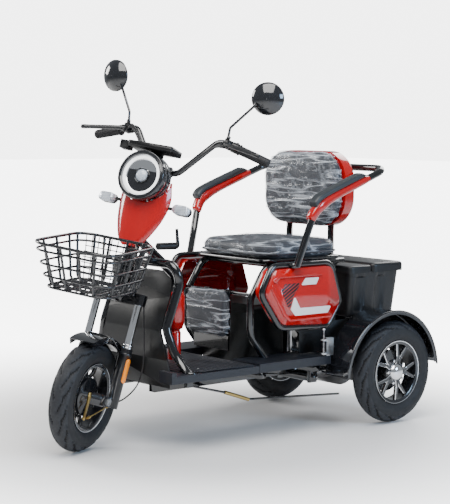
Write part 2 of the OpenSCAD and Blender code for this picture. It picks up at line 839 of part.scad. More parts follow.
module front_hoop() {
    color("#1b2026") chassis() difference() {
        union() {
            bent_tube(hoop_path, hoop_d, 42, tube_wall);
            both_sides() translate([251, 268, deck_top]) cylinder(d = 46, h = 5);
        }
        translate([-330, 180, deck_top - 60]) cube([660, 160, 60]);
    }
}

module leg_shield() {
    t = panel_t;
    back = [[214, 212], [222, 300], [224, 395], [240, 450], [262, 505], [268, 560], [246, 592]];
    n = len(back);
    side = hoop_w - hoop_d / 2 - side_gap;
    edge = [[210, 210], [205, 262], [178, 330], [side, 390], [side, 560], [130, 592]];
    color("#1a1a1c") chassis() intersection() {
        rotate([90, 0, 90]) translate([0, 0, -260]) linear_extrude(520)
            polygon(concat(back, [for (i = [n - 1:-1:0]) back[i] - [t + 1, 0]]));
        translate([0, 320, 0]) rotate([90, 0, 0]) linear_extrude(160)
            polygon(concat(edge, [for (i = [len(edge) - 1:-1:0]) [-edge[i].x, edge[i].y]]));
    }
}

module deck_panel() {
    cut_w = 214;
    color("#20242a") chassis() difference() {
        union() {
            translate([-deck_w / 2, deck_front, deck_z]) cube([deck_w, deck_rear - deck_front, deck_t]);
            translate([-deck_w / 2, deck_front, deck_top]) cube([deck_w, 20, 14]);
        }
        translate([-cut_w, deck_front - 1, deck_z - 1]) cube([2 * cut_w, 66, 60]);
        translate([0, post_y, deck_z - 1]) cylinder(d = down_tube_d + 2 * side_gap, h = 60);
    }
}

module floor_mat() {
    edge = 14;
    color("#26292c") chassis() difference() {
        translate([-deck_w / 2 + edge, deck_front + 66 + edge, deck_top])
            cube([deck_w - 2 * edge, deck_rear - deck_front - 66 - 2 * edge, 4]);
        translate([0, post_y, deck_top - 1]) cylinder(d = 50, h = 6);
        both_sides() translate([214, 240, deck_top - 1]) cube([68, 58, 8]);
    }
}

module side_steps() {
    inner = 140;
    long = pivot_y + 37 - deck_rear - 2;
    color("#20242a") chassis() both_sides() difference() {
        translate([inner, deck_rear + 2, deck_z]) cube([deck_w / 2 - inner, long, deck_t + 6]);
        translate([latch_x, pivot_y + 7, deck_z + 8]) cylinder(d = 8 + 4 * side_gap, h = 40);
    }
}

module battery_case() {
    long = 152;
    color("#131416") chassis() translate([-130, bar_y + 44, deck_z]) union() {
        cube([260, long, 180]);
        translate([-4, -4, 180]) cube([268, long + 8, 30]);
    }
}

module centre_post_cover() {
    bore = down_tube_d / 2 + side_gap;
    z0 = deck_top;
    color("red") chassis() translate([0, post_y, 0]) rotate_extrude() polygon([[bore, z0], [23, z0],
        [23, 358], [20, 362], [20, 368], [28, 372], [36, 398], [36, 480], [31, 498], [bore, 500]]);
}

// Outline of a side loop's middle line, seen from the side: the distance ahead of the rear axle
// and the height
loop_points = [[-556, 594], [-606, 502], [-516, 380], [-288, 368], [-227, 452], [-275, 594]];

module side_loops() {
    color("#1b2026") chassis() both_sides()
        bent_tube([for (p = loop_points) [loop_w, rear_y + p.x, p.y]], loop_d, 40, closed = true);
}

module loop_inside(inset) {
    offset(r = 32) offset(delta = -inset - 32)
        polygon(loop_points);
}

module side_panels() {
    inset = loop_d / 2 + side_gap;
    depth = 62;
    t = panel_t;
    color("red") chassis() both_sides() translate([0, rear_y, 0]) rotate([90, 0, 90])
        difference() {
            translate([0, 0, side_x + 5 - depth]) linear_extrude(depth) loop_inside(inset);
            translate([0, 0, side_x + 4 - depth]) linear_extrude(depth - t) loop_inside(inset + t);
        }
}

module seat_frame() {
    x = seat_rail_w;
    z = seat_z - seat_tube_d / 2 - side_gap;
    back_y = seat_back_y + 15;
    foot_y = bar_y + 88;
    post_x = 109;
    color("#17181a") chassis() difference() {
        union() {
            both_sides() {
                bent_tube([[x, back_y, z], [x, bar_y + 74, z], [x, bar_y, z - 112], [x, bar_y, 350],
                    [x, foot_y, deck_top - 20]], seat_tube_d, 60, tube_wall);
                rod([x, rear_y - 174, rear_rail_z - 12], [x, rear_y - 174, z], seat_tube_d - 4);
                rod([rail_gap / 2 + rail_w / 2, rear_y - 174, rear_rail_z - 12],
                    [x + 8, rear_y - 174, rear_rail_z - 12], 20);
                for (y = [rear_y - 470, rear_y - 300])
                    rod([x, y, 592.5], [loop_w - loop_d / 2 - side_gap, y, 592.5], 12);
                rod([post_x, back_y, z], [post_x, back_y, 762], seat_tube_d - 1);
            }
            rod([-x, back_y, z], [x, back_y, z], seat_tube_d - 3);
            rod([-x, bar_y + 110, z], [x, bar_y + 110, z], 20);
            rod([-x, child_hinge.x, child_hinge.y], [x, child_hinge.x, child_hinge.y], 12);
        }
        both_sides() translate([x - 30, foot_y - 60, deck_top - 60 + 6]) cube([60, 120, 60]);
    }
}

arm_path = [[706, 590], [770, 800], [1010, 884], [1117, 921.45]];
arm_path_y = rear_y - 1174;

module armrest_rail() {
    foot = [285, arm_path[0].x + arm_path_y, arm_path[0].y];
    side = [foot, for (i = [1, 3]) [arm_w, arm_path[i].x + arm_path_y, arm_path[i].y]];
    other = [for (i = [2:-1:0]) [-side[i].x, side[i].y, side[i].z]];
    color("#17181a") chassis() union() {
        bent_tube(concat(side, other), arm_d, 50, tube_wall);
        both_sides() translate([side_x + side_gap, foot.y - 12, foot.z - 4])
            cube([foot.x - side_x - side_gap, 24, 16]);
    }
}

arm_bend_r = 50;
function arm_dir(i) = unit(arm_path[i + 1] - arm_path[i]);
function arm_turn() = acos(arm_dir(0) * arm_dir(1));

module arm_sleeve(lower) {
    d = arm_d + 2 * side_gap;
    difference() {
        if (lower) {
            translate([-22, -19]) square([22, 38]);
        } else {
            union() {
                translate([0, -21]) square([14, 42]);
                translate([0, 0]) circle(r = 22);
            }
        }
        circle(d = d);
        if (!lower) translate([-40, -40]) square([40, 80]);
    }
}

module arm_cover(lower) {
    slope = atan2(arm_dir(1).y, arm_dir(1).x);
    inset = arm_bend_r * tan(arm_turn() / 2);
    long = norm(arm_path[2] - arm_path[1]);
    corner = arm_path[1];
    color(lower ? "red" : "#2a2d31") chassis() both_sides()
        translate([arm_w, corner.x + arm_path_y, corner.y]) rotate([slope, 0, 0])
            translate([0, inset, 0]) rotate([-90, 0, 0]) linear_extrude(long - inset)
                rotate(-90) arm_sleeve(lower);
}

module armrest_pads() {
    arm_cover(false);
}

module armrest_shells() {
    arm_cover(true);
}

module seat_pan() {
    color("#101112") chassis() translate([0, seat_front_y + seat_len / 2, seat_z])
        slab(seat_w - 10, seat_len - 10, 9, 40);
}

module seat_cushion() {
    low = seat_z + 9 + side_gap;
    mid_y = seat_front_y + seat_len / 2;
    color("#55585c") chassis() hull() {
        translate([0, mid_y, low]) slab(seat_w - 4, seat_len - 4, 6, 42);
        translate([0, mid_y, low + cushion_t * 0.45]) slab(seat_w, seat_len, 6, 44);
        translate([0, mid_y, low + cushion_t - 4]) slab(seat_w - 60, seat_len - 60, 4, 60);
    }
}

module back_outline(grow) {
    r = 70 + grow;
    w = back_w / 2 + grow;
    union() {
        for (x = [r - w, w - r]) {
            translate([x, r - grow]) circle(r = r);
            translate([x, back_h - r + grow]) circle(r = r);
        }
        translate([r - w, -grow]) square([2 * (w - r), back_h + 2 * grow]);
        translate([-w, r - grow]) square([2 * w, back_h + 2 * grow - 2 * r]);
    }
}

module backrest_cushion() {
    y = seat_back_y - side_gap;
    color("#55585c") chassis() translate([0, y, back_z]) rotate([90, 0, 0]) hull() {
        linear_extrude(back_t * 0.6) back_outline(0);
        linear_extrude(back_t) back_outline(-22);
    }
}

module backrest_shell() {
    y = seat_back_y + shell_t;
    color("red") chassis() difference() {
        translate([0, y, back_z]) rotate([90, 0, 0]) union() {
            linear_extrude(6) back_outline(-14);
            translate([0, 0, 6]) linear_extrude(shell_t - 6) back_outline(-4);
        }
        both_sides() translate([109, seat_back_y + 15, back_z - 10])
            cylinder(d = seat_tube_d - 1 + 2 * side_gap, h = 762 - back_z + 10 + side_gap);
    }
}

module child_seat_frame() {
    top = child_hinge.y + 16;
    face = child_hinge.x - 31;
    color("#1a1b1d") chassis() difference() {
        union() {
            translate([-100, face, top - child_h + 14]) cube([200, 4, child_h - 20]);
            for (x = [-70, 40]) {
                translate([x, face + 4, child_hinge.y - 8]) cube([30, 27, 16]);
                translate([x, child_hinge.x, child_hinge.y]) rotate([0, 90, 0]) cylinder(r = 10, h = 30);
            }
            translate([-92, face, top - child_h - 44]) cube([184, 6, 60]);
        }
        translate([-200, child_hinge.x, child_hinge.y]) rotate([0, 90, 0])
            cylinder(d = 12 + 2 * run_gap, h = 400);
    }
}

module child_seat_pad() {
    top = child_hinge.y + 16;
    face = child_hinge.x - 31 - side_gap;
    color("#55585c") chassis() translate([0, face, top - child_h / 2]) rotate([90, 0, 0]) hull() {
        slab(child_w - 16, child_h - 16, child_t, 20);
        translate([0, 0, child_t * 0.3]) slab(child_w, child_h, child_t * 0.4, 24);
    }
}

// ---- rear ----

module tub(w0, w1, y0, y1, z0, z1, taper) {
    hull() {
        translate([-w1, y0, z1 - 1]) cube([2 * w1, y1 - y0, 1]);
        translate([-w0, y0 + taper / 2, z0]) cube([2 * w0, y1 - y0 - 1.5 * taper, 1]);
    }
}

module rear_box() {
    y1 = box_front + box_len;
    t = box_wall;
    lid_split = rear_y - 24;
    color("#1d1f22") chassis() union() {
        difference() {
            tub(box_w - 16, box_w, box_front, y1, box_z, box_top, 18);
            tub(box_w - 16 - t, box_w - t, box_front + t, y1 - t, box_z + t, box_top + 2, 18);
        }
        translate([-box_w - 10, box_front - 12, box_top])
            cube([2 * box_w + 20, lid_split - box_front + 12 - 1, 24]);
    }
}

module box_lid() {
    lid_split = rear_y - 24;
    rear = box_front + box_len + 12;
    color("#25282c") chassis() difference() {
        translate([-box_w - 10, lid_split, box_top + side_gap])
            cube([2 * box_w + 20, rear - lid_split, 24 - side_gap]);
        translate([-box_w + 4, lid_split + 6, box_top])
            cube([2 * box_w - 8, rear - lid_split - 24, 18]);
    }
}

module tail_lamp() {
    y1 = box_front + box_len;
    color("darkred") chassis() difference() {
        translate([-70, y1 - 24, 425]) cube([140, 30, 34]);
        tub(box_w - 16, box_w, box_front, y1 + side_gap, box_z, box_top, 18);
    }
}

module rear_mudguards() {
    t = 4;
    lip = 12;
    drop = 30;
    shelf_in = 190 + side_gap - guard_in;
    shelf_z = rear_rail_z - 6 - guard_z;
    color("#0f1012") chassis() both_sides() translate([guard_in, guard_y, guard_z]) union() {
        rotate([0, 90, 0]) rotate([0, 0, 98]) rotate_extrude(angle = 168, $fn = 96) union() {
            translate([guard_r - t, 0]) square([t, guard_w]);
            translate([guard_r - lip, guard_w - t]) square([lip, t]);
            translate([guard_r - drop, 0]) square([drop, t]);
        }
        translate([shelf_in, -95, shelf_z]) cube([3 - shelf_in, 200, 6]);
    }
}

module rear_springs() {
    y = rear_y - 90;
    z = 211;
    h = rear_rail_z - rear_rail_h - z - side_gap;
    color("#8a1b1b") chassis() both_sides() translate([160, y, z]) difference() {
        cylinder(d = 42, h = h);
        translate([0, 0, -1]) cylinder(d = 26, h = h + 2);
    }
}

module rear_axle() {
    arm_x = 160;
    tube_half = 217.5;
    spring_y = rear_y - 90;
    hub_face = rear_track / 2 - 34;
    color("#1a1c1f") chassis() difference() {
        union() {
            translate([-tube_half, pivot_y, 186]) rotate([0, 90, 0]) cylinder(d = 34, h = 2 * tube_half);
            for (x = [-arm_x, arm_x]) {
                translate([x - 15, pivot_y, 168]) cube([30, swing_len, 36]);
                translate([x, spring_y, 200]) cylinder(d = 50, h = 10.7);
            }
            at_wheel(-hub_face, rear_y) cylinder(d = 56, h = 2 * hub_face);
            at_wheel(-70, rear_y) cylinder(d = 168, h = 120);
            at_wheel(50, rear_y) cylinder(d = 120, h = 70);
            at_wheel(-rear_track / 2 - 34, rear_y)
                cylinder(d = rear_spindle_d, h = rear_track + 68);
            for (x = [-rear_track / 2 - 38, rear_track / 2 + 28])
                at_wheel(x, rear_y) cylinder(d = 32, h = 10, $fn = 6);
        }
        translate([-tube_half - 1, pivot_y, 186]) rotate([0, 90, 0])
            cylinder(d = 16 + 2 * run_gap, h = 2 * tube_half + 2);
    }
}

module brake_rod() {
    x = 145;
    color("#15161a") chassis() union() {
        bent_tube([[x, deck_rear - 195, deck_z - 40], [x, deck_rear - 30, 156], [x, deck_rear + 70, 122],
            [x, rear_y - 110, 92]], 8, 30);
        translate([x - 8, deck_rear - 210, deck_z - 46]) cube([16, 24, 46]);
    }
}

module bag_hook() {
    y = 322;
    slope = (down_bend.z - down_start.z) / (down_bend.y - down_start.y);
    z = down_start.z + (y - down_start.y) * slope + down_tube_d / 2 * sqrt(1 + slope * slope) + 0.1;
    color("#121212") chassis() union() {
        bent_tube([[0, y + 12, z + 21], [0, y + 107, z + 23], [0, y + 83, z + 69]], 15, 12);
        translate([-9, y, z]) cube([18, 16, 30]);
    }
}

module latch_bracket() {
    y = pivot_y + 7;
    x = latch_x;
    color("silver") chassis() difference() {
        union() {
            translate([x - 8, y + 8, deck_top + 6]) cube([16, 34, 62]);
            for (z = [deck_top + 10, deck_top + 58]) translate([x - 8, y - 8, z]) cube([16, 18, 6]);
        }
        translate([x, y, deck_top]) cylinder(d = 8 + 2 * run_gap, h = 100);
    }
}

module latch_pin() {
    color("gainsboro") chassis() translate([latch_x, pivot_y + 7, deck_z + 10]) union() {
        cylinder(d = 8, h = 112);
        translate([0, 0, 108]) cylinder(d = 11, h = 8);
    }
}

main_frame();
front_hoop();
side_loops();
seat_frame();
armrest_rail();
armrest_pads();
armrest_shells();
leg_shield();
deck_panel();
floor_mat();
side_steps();
side_panels();
centre_post_cover();
battery_case();
backrest_cushion();
backrest_shell();
rear_box();
rear_mudguards();
tail_lamp();
bag_hook();
latch_bracket();
rear_springs();
brake_rod();
seat_pan();
seat_cushion();
child_seat_frame();
child_seat_pad();
box_lid();
latch_pin();
rear_axle();
rear_rim_left();
rear_tyre_left();
rear_rim_right();
rear_tyre_right();
steering_stem();
fork_tubes();
handlebar();
grip_left();
bar_controls();
display_unit();
headlamp_housing();
headlamp_lens();
front_shield();
turn_signals();
basket();
basket_bracket();
front_brake_cable();
throttle_grip();
brake_lever_left();
brake_lever_right();
mirror_left();
mirror_right();
fork_legs();
front_axle();
front_brake_plate();
front_mudguard();
front_brake_arm();
front_rim();
front_tyre();
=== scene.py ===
import json
import math
import bmesh
import bpy
from mathutils import Matrix, Vector, noise

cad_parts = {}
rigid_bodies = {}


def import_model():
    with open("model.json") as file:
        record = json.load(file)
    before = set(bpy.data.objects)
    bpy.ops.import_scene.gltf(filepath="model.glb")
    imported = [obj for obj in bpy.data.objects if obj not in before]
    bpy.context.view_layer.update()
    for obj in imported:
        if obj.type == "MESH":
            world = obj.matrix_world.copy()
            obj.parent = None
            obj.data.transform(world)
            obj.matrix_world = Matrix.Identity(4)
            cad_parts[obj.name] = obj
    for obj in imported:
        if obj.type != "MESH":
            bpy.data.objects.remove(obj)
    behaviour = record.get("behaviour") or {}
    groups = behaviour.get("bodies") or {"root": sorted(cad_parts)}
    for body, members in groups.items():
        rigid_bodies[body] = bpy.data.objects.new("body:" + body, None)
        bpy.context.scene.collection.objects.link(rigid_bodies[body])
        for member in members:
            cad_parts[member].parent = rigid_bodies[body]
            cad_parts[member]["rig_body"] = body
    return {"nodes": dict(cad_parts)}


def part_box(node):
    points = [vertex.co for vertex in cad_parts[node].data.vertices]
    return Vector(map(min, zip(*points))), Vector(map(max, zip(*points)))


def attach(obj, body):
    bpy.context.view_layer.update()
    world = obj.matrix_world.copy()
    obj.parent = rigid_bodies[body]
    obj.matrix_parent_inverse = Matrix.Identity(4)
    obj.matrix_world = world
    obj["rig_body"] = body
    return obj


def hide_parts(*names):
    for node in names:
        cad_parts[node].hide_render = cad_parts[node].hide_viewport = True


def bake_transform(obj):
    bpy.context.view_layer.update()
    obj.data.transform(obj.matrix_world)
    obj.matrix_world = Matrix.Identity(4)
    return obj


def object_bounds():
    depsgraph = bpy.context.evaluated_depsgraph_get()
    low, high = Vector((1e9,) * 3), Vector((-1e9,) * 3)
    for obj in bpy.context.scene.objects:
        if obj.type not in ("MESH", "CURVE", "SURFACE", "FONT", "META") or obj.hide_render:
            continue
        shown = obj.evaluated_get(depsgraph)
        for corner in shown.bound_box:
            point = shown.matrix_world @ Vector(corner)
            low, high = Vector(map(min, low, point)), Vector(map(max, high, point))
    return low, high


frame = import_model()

cad_low, cad_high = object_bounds()

# The showing: a pale seamless floor, a large soft lamp over the left front, smaller ones at the side and
# behind and a cool one on the right, and the viewpoint at the left front, a little under head height.
scene = bpy.context.scene
eye = bpy.data.objects.new("viewpoint", bpy.data.cameras.new("viewpoint"))
eye.matrix_world = (Matrix.Translation((4.0118, -3.4464, 1.0840)) @ Matrix.Rotation(0.8530, 4, "Z")
                    @ Matrix.Rotation(math.pi / 2 - 0.0865, 4, "X") @ Matrix.Rotation(0.01141, 4, "Z"))
eye.data.lens = 107.92
eye.data.sensor_width = 36
scene.collection.objects.link(eye)
scene.camera = eye
for name, at, aim, size, power, tint in (
        ("lamp_over", (1.2, -1.4, 3.6), (0, 0, 0.4), 3.0, 210, (1, 0.985, 0.96)),
        ("lamp_left", (-3.2, -1.6, 2.2), (0, 0, 0.6), 1.4, 95, (1, 0.98, 0.95)),
        ("lamp_cool", (3.8, 1.4, 1.7), (0, 0, 0.5), 1.2, 75, (0.50, 0.72, 1)),
        ("lamp_back", (-1.0, 3.4, 2.6), (0, 0, 0.6), 2.0, 80, (1, 1, 1))):
    lamp = bpy.data.objects.new(name, bpy.data.lights.new(name, "AREA"))
    lamp.data.size, lamp.data.energy, lamp.data.color = size, power, tint
    facing = (Vector(aim) - Vector(at)).to_track_quat("-Z", "Y")
    lamp.matrix_world = Matrix.Translation(at) @ facing.to_matrix().to_4x4()
    scene.collection.objects.link(lamp)
scene.world = bpy.data.worlds.new("studio")
scene.world.use_nodes = True
backdrop = scene.world.node_tree
backdrop.nodes["Background"].inputs["Color"].default_value = (0.90, 0.95, 1, 1)
backdrop.nodes["Background"].inputs["Strength"].default_value = 0.32
pale = backdrop.nodes.new("ShaderNodeBackground")
seen = backdrop.nodes.new("ShaderNodeLightPath")
both = backdrop.nodes.new("ShaderNodeMixShader")
pale.inputs["Strength"].default_value = 6.3
backdrop.links.new(seen.outputs["Is Camera Ray"], both.inputs[0])
backdrop.links.new(backdrop.nodes["Background"].outputs[0], both.inputs[1])
backdrop.links.new(pale.outputs[0], both.inputs[2])
backdrop.links.new(both.outputs[0], backdrop.nodes["World Output"].inputs[0])
bm = bmesh.new()
bmesh.ops.create_grid(bm, x_segments=2, y_segments=2, size=30)
mesh = bpy.data.meshes.new("floor")
bm.to_mesh(mesh)
bm.free()
floor = bpy.data.objects.new("floor", mesh)
floor.location.z = cad_low.z - 0.001
scene.collection.objects.link(floor)


class Shade:
    """One output of a finish's nodes. Sums written with it add Math nodes, and node() adds any other."""

    def __init__(self, tree, socket=None):
        self.tree, self.socket = tree, socket

    def node(self, kind, settings, values, output=0):
        made = self.tree.nodes.new("ShaderNode" + kind)
        for key, value in settings.items():
            if key == "stops":
                ramp = made.color_ramp.elements
                for place, (at, colour) in enumerate(value):
                    stop = ramp[place] if place < 2 else ramp.new(at)
                    stop.position, stop.color = at, (*colour, 1)
            else:
                setattr(made, key, value)
        for key, value in values.items():
            if isinstance(value, Shade):
                self.tree.links.new(value.socket, made.inputs[key])
            else:
                made.inputs[key].default_value = value
        return Shade(self.tree, made.outputs[output])

    def sum(self, operation, *values):
        return self.node("Math", {"operation": operation}, dict(enumerate(values)))

    def __add__(self, other):
        return self.sum("ADD", self, other)

    def __radd__(self, other):
        return self.sum("ADD", other, self)

    def __sub__(self, other):
        return self.sum("SUBTRACT", self, other)

    def __rsub__(self, other):
        return self.sum("SUBTRACT", other, self)

    def __mul__(self, other):
        return self.sum("MULTIPLY", self, other)

    def __rmul__(self, other):
        return self.sum("MULTIPLY", other, self)

    def __gt__(self, other):
        return self.sum("GREATER_THAN", self, other)

    def __lt__(self, other):
        return self.sum("LESS_THAN", self, other)

    def __abs__(self):
        return self.sum("ABSOLUTE", self)

    def mixed(self, low, high):
        """The colour low where this is 0, and high where it is 1."""
        return self.node("Mix", {"data_type": "RGBA", "clamp_factor": True}, {0: self, 6: low, 7: high}, 2)


def noise_of(spot, scale, detail=3.0, rough=0.55):
    return spot.node("TexNoise", {}, {"Vector": spot, "Scale": scale, "Detail": detail, "Roughness": rough})


def finish(name, build, **settings):
    """A material whose nodes build() makes from the object's own coordinates; settings go on its shader."""
    made = bpy.data.materials.new(name)
    made.use_nodes = True
    tree = made.node_tree
    shader = tree.nodes["Principled BSDF"]
    for key, value in settings.items():
        shader.inputs[key.replace("_", " ")].default_value = value
    spot = Shade(tree).node("TexCoord", {}, {}, 3)
    for key, value in build(spot).items():
        tree.links.new(value.socket, shader.inputs[key])
    return made


def surface(colour, roughness, worn=0.25, mottle=9.0, grain=900.0, depth=0.00006, metallic=0.0, spread=0.12,
            **settings):
    """A finish of one colour with faint uneven tone, uneven gloss and a fine grain."""
    def build(spot):
        cloud = noise_of(spot, mottle)
        dull = noise_of(spot, mottle * 9, 5)
        fine = noise_of(spot, grain, 2)
        dark = tuple(c * (1 - worn) for c in colour)
        light = tuple(c * (1 + worn) + 0.002 * worn for c in colour)
        return {"Base Color": cloud.mixed((*dark, 1), (*light, 1)),
                "Roughness": roughness + (dull - 0.5) * spread,
                "Normal": spot.node("Bump", {}, {"Strength": 1.0, "Distance": depth, "Height": fine})}
    return finish(settings.pop("name"), build, Metallic=metallic, **settings)


cable_rubber = surface((0.012, 0.012, 0.014), 0.42, name="cable_rubber")
black_paint = surface((0.003, 0.0035, 0.005), 0.12, name="black_paint", depth=0.00002, spread=0.06,
                      Coat_Weight=0.9, Coat_Roughness=0.03)

# Where things stand: the chassis is drawn in mm from the middle of the front axle on the floor, and the fork
# along its own leaning line, parked turned to the left.
MM = Matrix.Scale(0.001, 4)
head_lean, parked = math.radians(18.4), math.radians(25)
aside, forward, axle_height, fork_offset = 0.015836, -0.586418, 0.185, 0.060
chassis = Matrix.Translation((aside, forward, 0))
fork = (Matrix.Translation((aside, forward + fork_offset, axle_height)) @ Matrix.Rotation(-head_lean, 4, "X")
        @ Matrix.Rotation(parked, 4, "Z"))
ahead = fork @ Matrix.Rotation(head_lean, 4, "X") @ Matrix.Translation((0, -fork_offset, -axle_height))
flip = Matrix.Scale(-1, 4, (1, 0, 0))
bar_sweep, bar_droop = math.radians(14.8), math.radians(12.2)
bar_end = (Matrix.Translation((0.160, 0.112, 0.932)) @ Matrix.Rotation(bar_sweep, 4, "Z")
           @ Matrix.Rotation(bar_droop, 4, "Y"))
bar_left, bar_right = fork @ bar_end, fork @ flip @ bar_end


def rounded(points, radius, steps=5, closed=False):
    """A run of points with its corners turned to arcs of the radius, or less where there is no room."""
    run, count = [], len(points)
    for i, p in enumerate(points):
        p = Vector(p)
        if not closed and i in (0, count - 1):
            run.append(p)
            continue
        back, on = Vector(points[i - 1]) - p, Vector(points[(i + 1) % count]) - p
        half = back.angle(on) / 2
        if half > 1.54:
            run.append(p)
            continue
        cut = min(radius / math.tan(half), back.length * 0.499, on.length * 0.499)
        middle = p + (back.normalized() + on.normalized()).normalized() * cut / math.cos(half)
        first, last = p + back.normalized() * cut - middle, p + on.normalized() * cut - middle
        turn = first.angle(last)
        run += [middle + first * math.sin((1 - k / steps) * turn) / math.sin(turn)
                + last * math.sin(k / steps * turn) / math.sin(turn) for k in range(steps + 1)]
    return run


def rods(name, runs, width, place, coat, body, instead=(), closed=False, sides=4, ride=True):
    """Rods, wires or cables of one width in mm, each along a run of points, in one piece."""
    line = bpy.data.curves.new(name, "CURVE")
    line.dimensions = "3D"
    line.bevel_depth, line.bevel_resolution, line.use_fill_caps = width / 2000, sides, True
    for run in runs:
        spline = line.splines.new("POLY")
        spline.points.add(len(run) - 1)
        for knot, p in zip(spline.points, run):
            knot.co = (*(place @ (Vector(p) * 0.001)), 1)
        spline.use_cyclic_u, spline.use_smooth = closed, True
    line.materials.append(coat)
    made = bpy.data.objects.new(name, line)
    scene.collection.objects.link(made)
    if ride:
        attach(made, body)
    if instead:
        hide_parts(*instead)
    return made


def flowing(points, count=28):
    """A smooth line through a few points, as a cable lies."""
    points = [Vector(p) for p in points]
    ends = [points[0] * 2 - points[1]] + points + [points[-1] * 2 - points[-2]]
    run = []
    for step in range(count + 1):
        at = step / count * (len(points) - 1)
        i = min(int(at), len(points) - 2)
        t = at - i
        a, b, c, d = ends[i:i + 4]
        run.append(0.5 * (2 * b + (c - a) * t + (2 * a - 5 * b + 4 * c - d) * t * t
                          + (3 * b - a - 3 * c + d) * t ** 3))
    return run


# The control cables: plastic-covered steel cables in pairs, which run from each lever clamp along the front
# of the handlebar and in behind the headlamp. The right-hand pair bows a little higher.
for side, turn, spare in (("left", fork, 0), ("right", fork @ flip, 22)):
    for order in (0, 1):
        run = flowing([(196, 94 - 5 * order, 911 - 5 * order), (170, 86 - 7 * order, 908 + spare - 6 * order),
                       (142, 80 - 7 * order, 888 + spare - 7 * order),
                       (108, 72 - 7 * order, 847 + spare - 7 * order), (72, 60 - 6 * order, 801 - 6 * order),
                       (44, 44 - 6 * order, 762 - 6 * order), (22, 20, 722 - 10 * order),
                       (12, 0, 690 - 12 * order)])
        where = [turn @ (p * 0.001) for p in run]
        long = sum((a - b).length for a, b in zip(where, where[1:]))
        cable = rods(f"control_cable_{side}_{order}", [run], 6, turn, cable_rubber, "steering")

# The front brake cable: it leaves the fork yoke, hangs in a long bow behind the left leg and comes forward
# to its stop at the hub. A threaded rod goes on from the stop to the arm.
run = flowing([(84, 26, 348), (84, 28, 318), (104, 26, 250), (116, 52, 170), (117, 72, 110), (104, 86, 56),
               (80, 72, 8), (52, 46, -22)], 34)
where = [fork @ (p * 0.001) for p in run]
curve = rods("front_cable_line", [run], 5, fork, cable_rubber, "steering", ride=False)
bpy.context.view_layer.update()
front_cable = bpy.data.objects.new("front_cable", bpy.data.meshes.new_from_object(curve))
bpy.data.objects.remove(curve)
scene.collection.objects.link(front_cable)
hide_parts("front_brake_cable")
round(sum((a - b).length for a, b in zip(where, where[1:])), 3)
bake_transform(front_cable)


as_drawn = MM.inverted()


def merged(node):
    """A copy of a part's own mesh, with its loose triangles joined."""
    bm = bmesh.new()
    bm.from_mesh(frame["nodes"][node].data)
    bmesh.ops.remove_doubles(bm, verts=bm.verts, dist=0.00001)
    return bm


def coated(coat, *nodes):
    """Gives parts whose shape is right their finish, on a merged copy whose round faces are smooth."""
    for node in nodes:
        body = frame["nodes"][node]["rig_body"]
        part(f"{node}_skin", merged(node), as_drawn, [coat], body, [node], sharp=38)


def part(name, bm, place, coats, body, instead=(), sharp=35, turned_over=False):
    """Makes a finished piece of a mesh in mm, in its own place."""
    bmesh.ops.transform(bm, matrix=place @ MM, verts=bm.verts)
    if turned_over or place.determinant() < 0:
        bmesh.ops.recalc_face_normals(bm, faces=bm.faces)
    for face in bm.faces:
        face.smooth = True
    mesh = bpy.data.meshes.new(name)
    bm.to_mesh(mesh)
    bm.free()
    mesh.set_sharp_from_angle(angle=math.radians(sharp))
    for coat in coats:
        mesh.materials.append(coat)
    made = bpy.data.objects.new(name, mesh)
    scene.collection.objects.link(made)
    if body:
        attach(made, body)
    if instead:
        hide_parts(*instead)
    return made


def joined(*shapes):
    """Several meshes as one."""
    whole = bmesh.new()
    for shape in shapes:
        mesh = bpy.data.meshes.new("shape")
        shape.to_mesh(mesh)
        shape.free()
        whole.from_mesh(mesh)
        bpy.data.meshes.remove(mesh)
    return whole


def turned(outline, steps=64, closed=True, coat=0):
    """A shape turned on a lathe about z from an outline of (radius, height)."""
    bm = bmesh.new()
    ring = [bm.verts.new((max(r, 0.0), 0, z)) for r, z in outline]
    sides = [bm.edges.new(pair) for pair in zip(ring, ring[1:])]
    if closed:
        sides.append(bm.edges.new((ring[-1], ring[0])))
    bmesh.ops.spin(bm, geom=ring + sides, cent=(0, 0, 0), axis=(0, 0, 1), dvec=(0, 0, 0), angle=2 * math.pi,
                   steps=steps, use_merge=True, use_duplicate=False)
    bmesh.ops.remove_doubles(bm, verts=bm.verts, dist=0.001)
    bmesh.ops.recalc_face_normals(bm, faces=bm.faces)
    for face in bm.faces:
        face.material_index = coat
    return bm


def plate(outline, low, high, edge=0.0, edge_coat=0, coat=0, segments=2):
    """A plate between two heights, with its top edge rounded or cut back."""
    bm = bmesh.new()
    face = bm.faces.new([bm.verts.new((x, y, low)) for x, y in outline])
    grown = bmesh.ops.extrude_face_region(bm, geom=[face])["geom"]
    raised = [v for v in grown if isinstance(v, bmesh.types.BMVert)]
    bmesh.ops.translate(bm, vec=(0, 0, high - low), verts=raised)
    bmesh.ops.recalc_face_normals(bm, faces=bm.faces)
    for face in bm.faces:
        face.material_index = coat
    if edge:
        top = [e for e in bm.edges if all(abs(v.co.z - high) < 1e-4 for v in e.verts)]
        cut = bmesh.ops.bevel(bm, geom=top, offset=edge, offset_type="OFFSET", affect="EDGES",
                              segments=segments, profile=0.5, material=-1, clamp_overlap=True)
        for face in cut["faces"]:
            face.material_index = edge_coat
    return bm


# The frame: round and square steel tubes, bent, welded and painted gloss black, with the hoop over
# the front, the loops at the sides, the seat frame and the rail that carries the armrests.
coated(black_paint, "main_frame", "front_hoop", "side_loops", "seat_frame", "armrest_rail", "child_seat_frame",
       "seat_pan", "basket_bracket", "handlebar", "steering_stem")

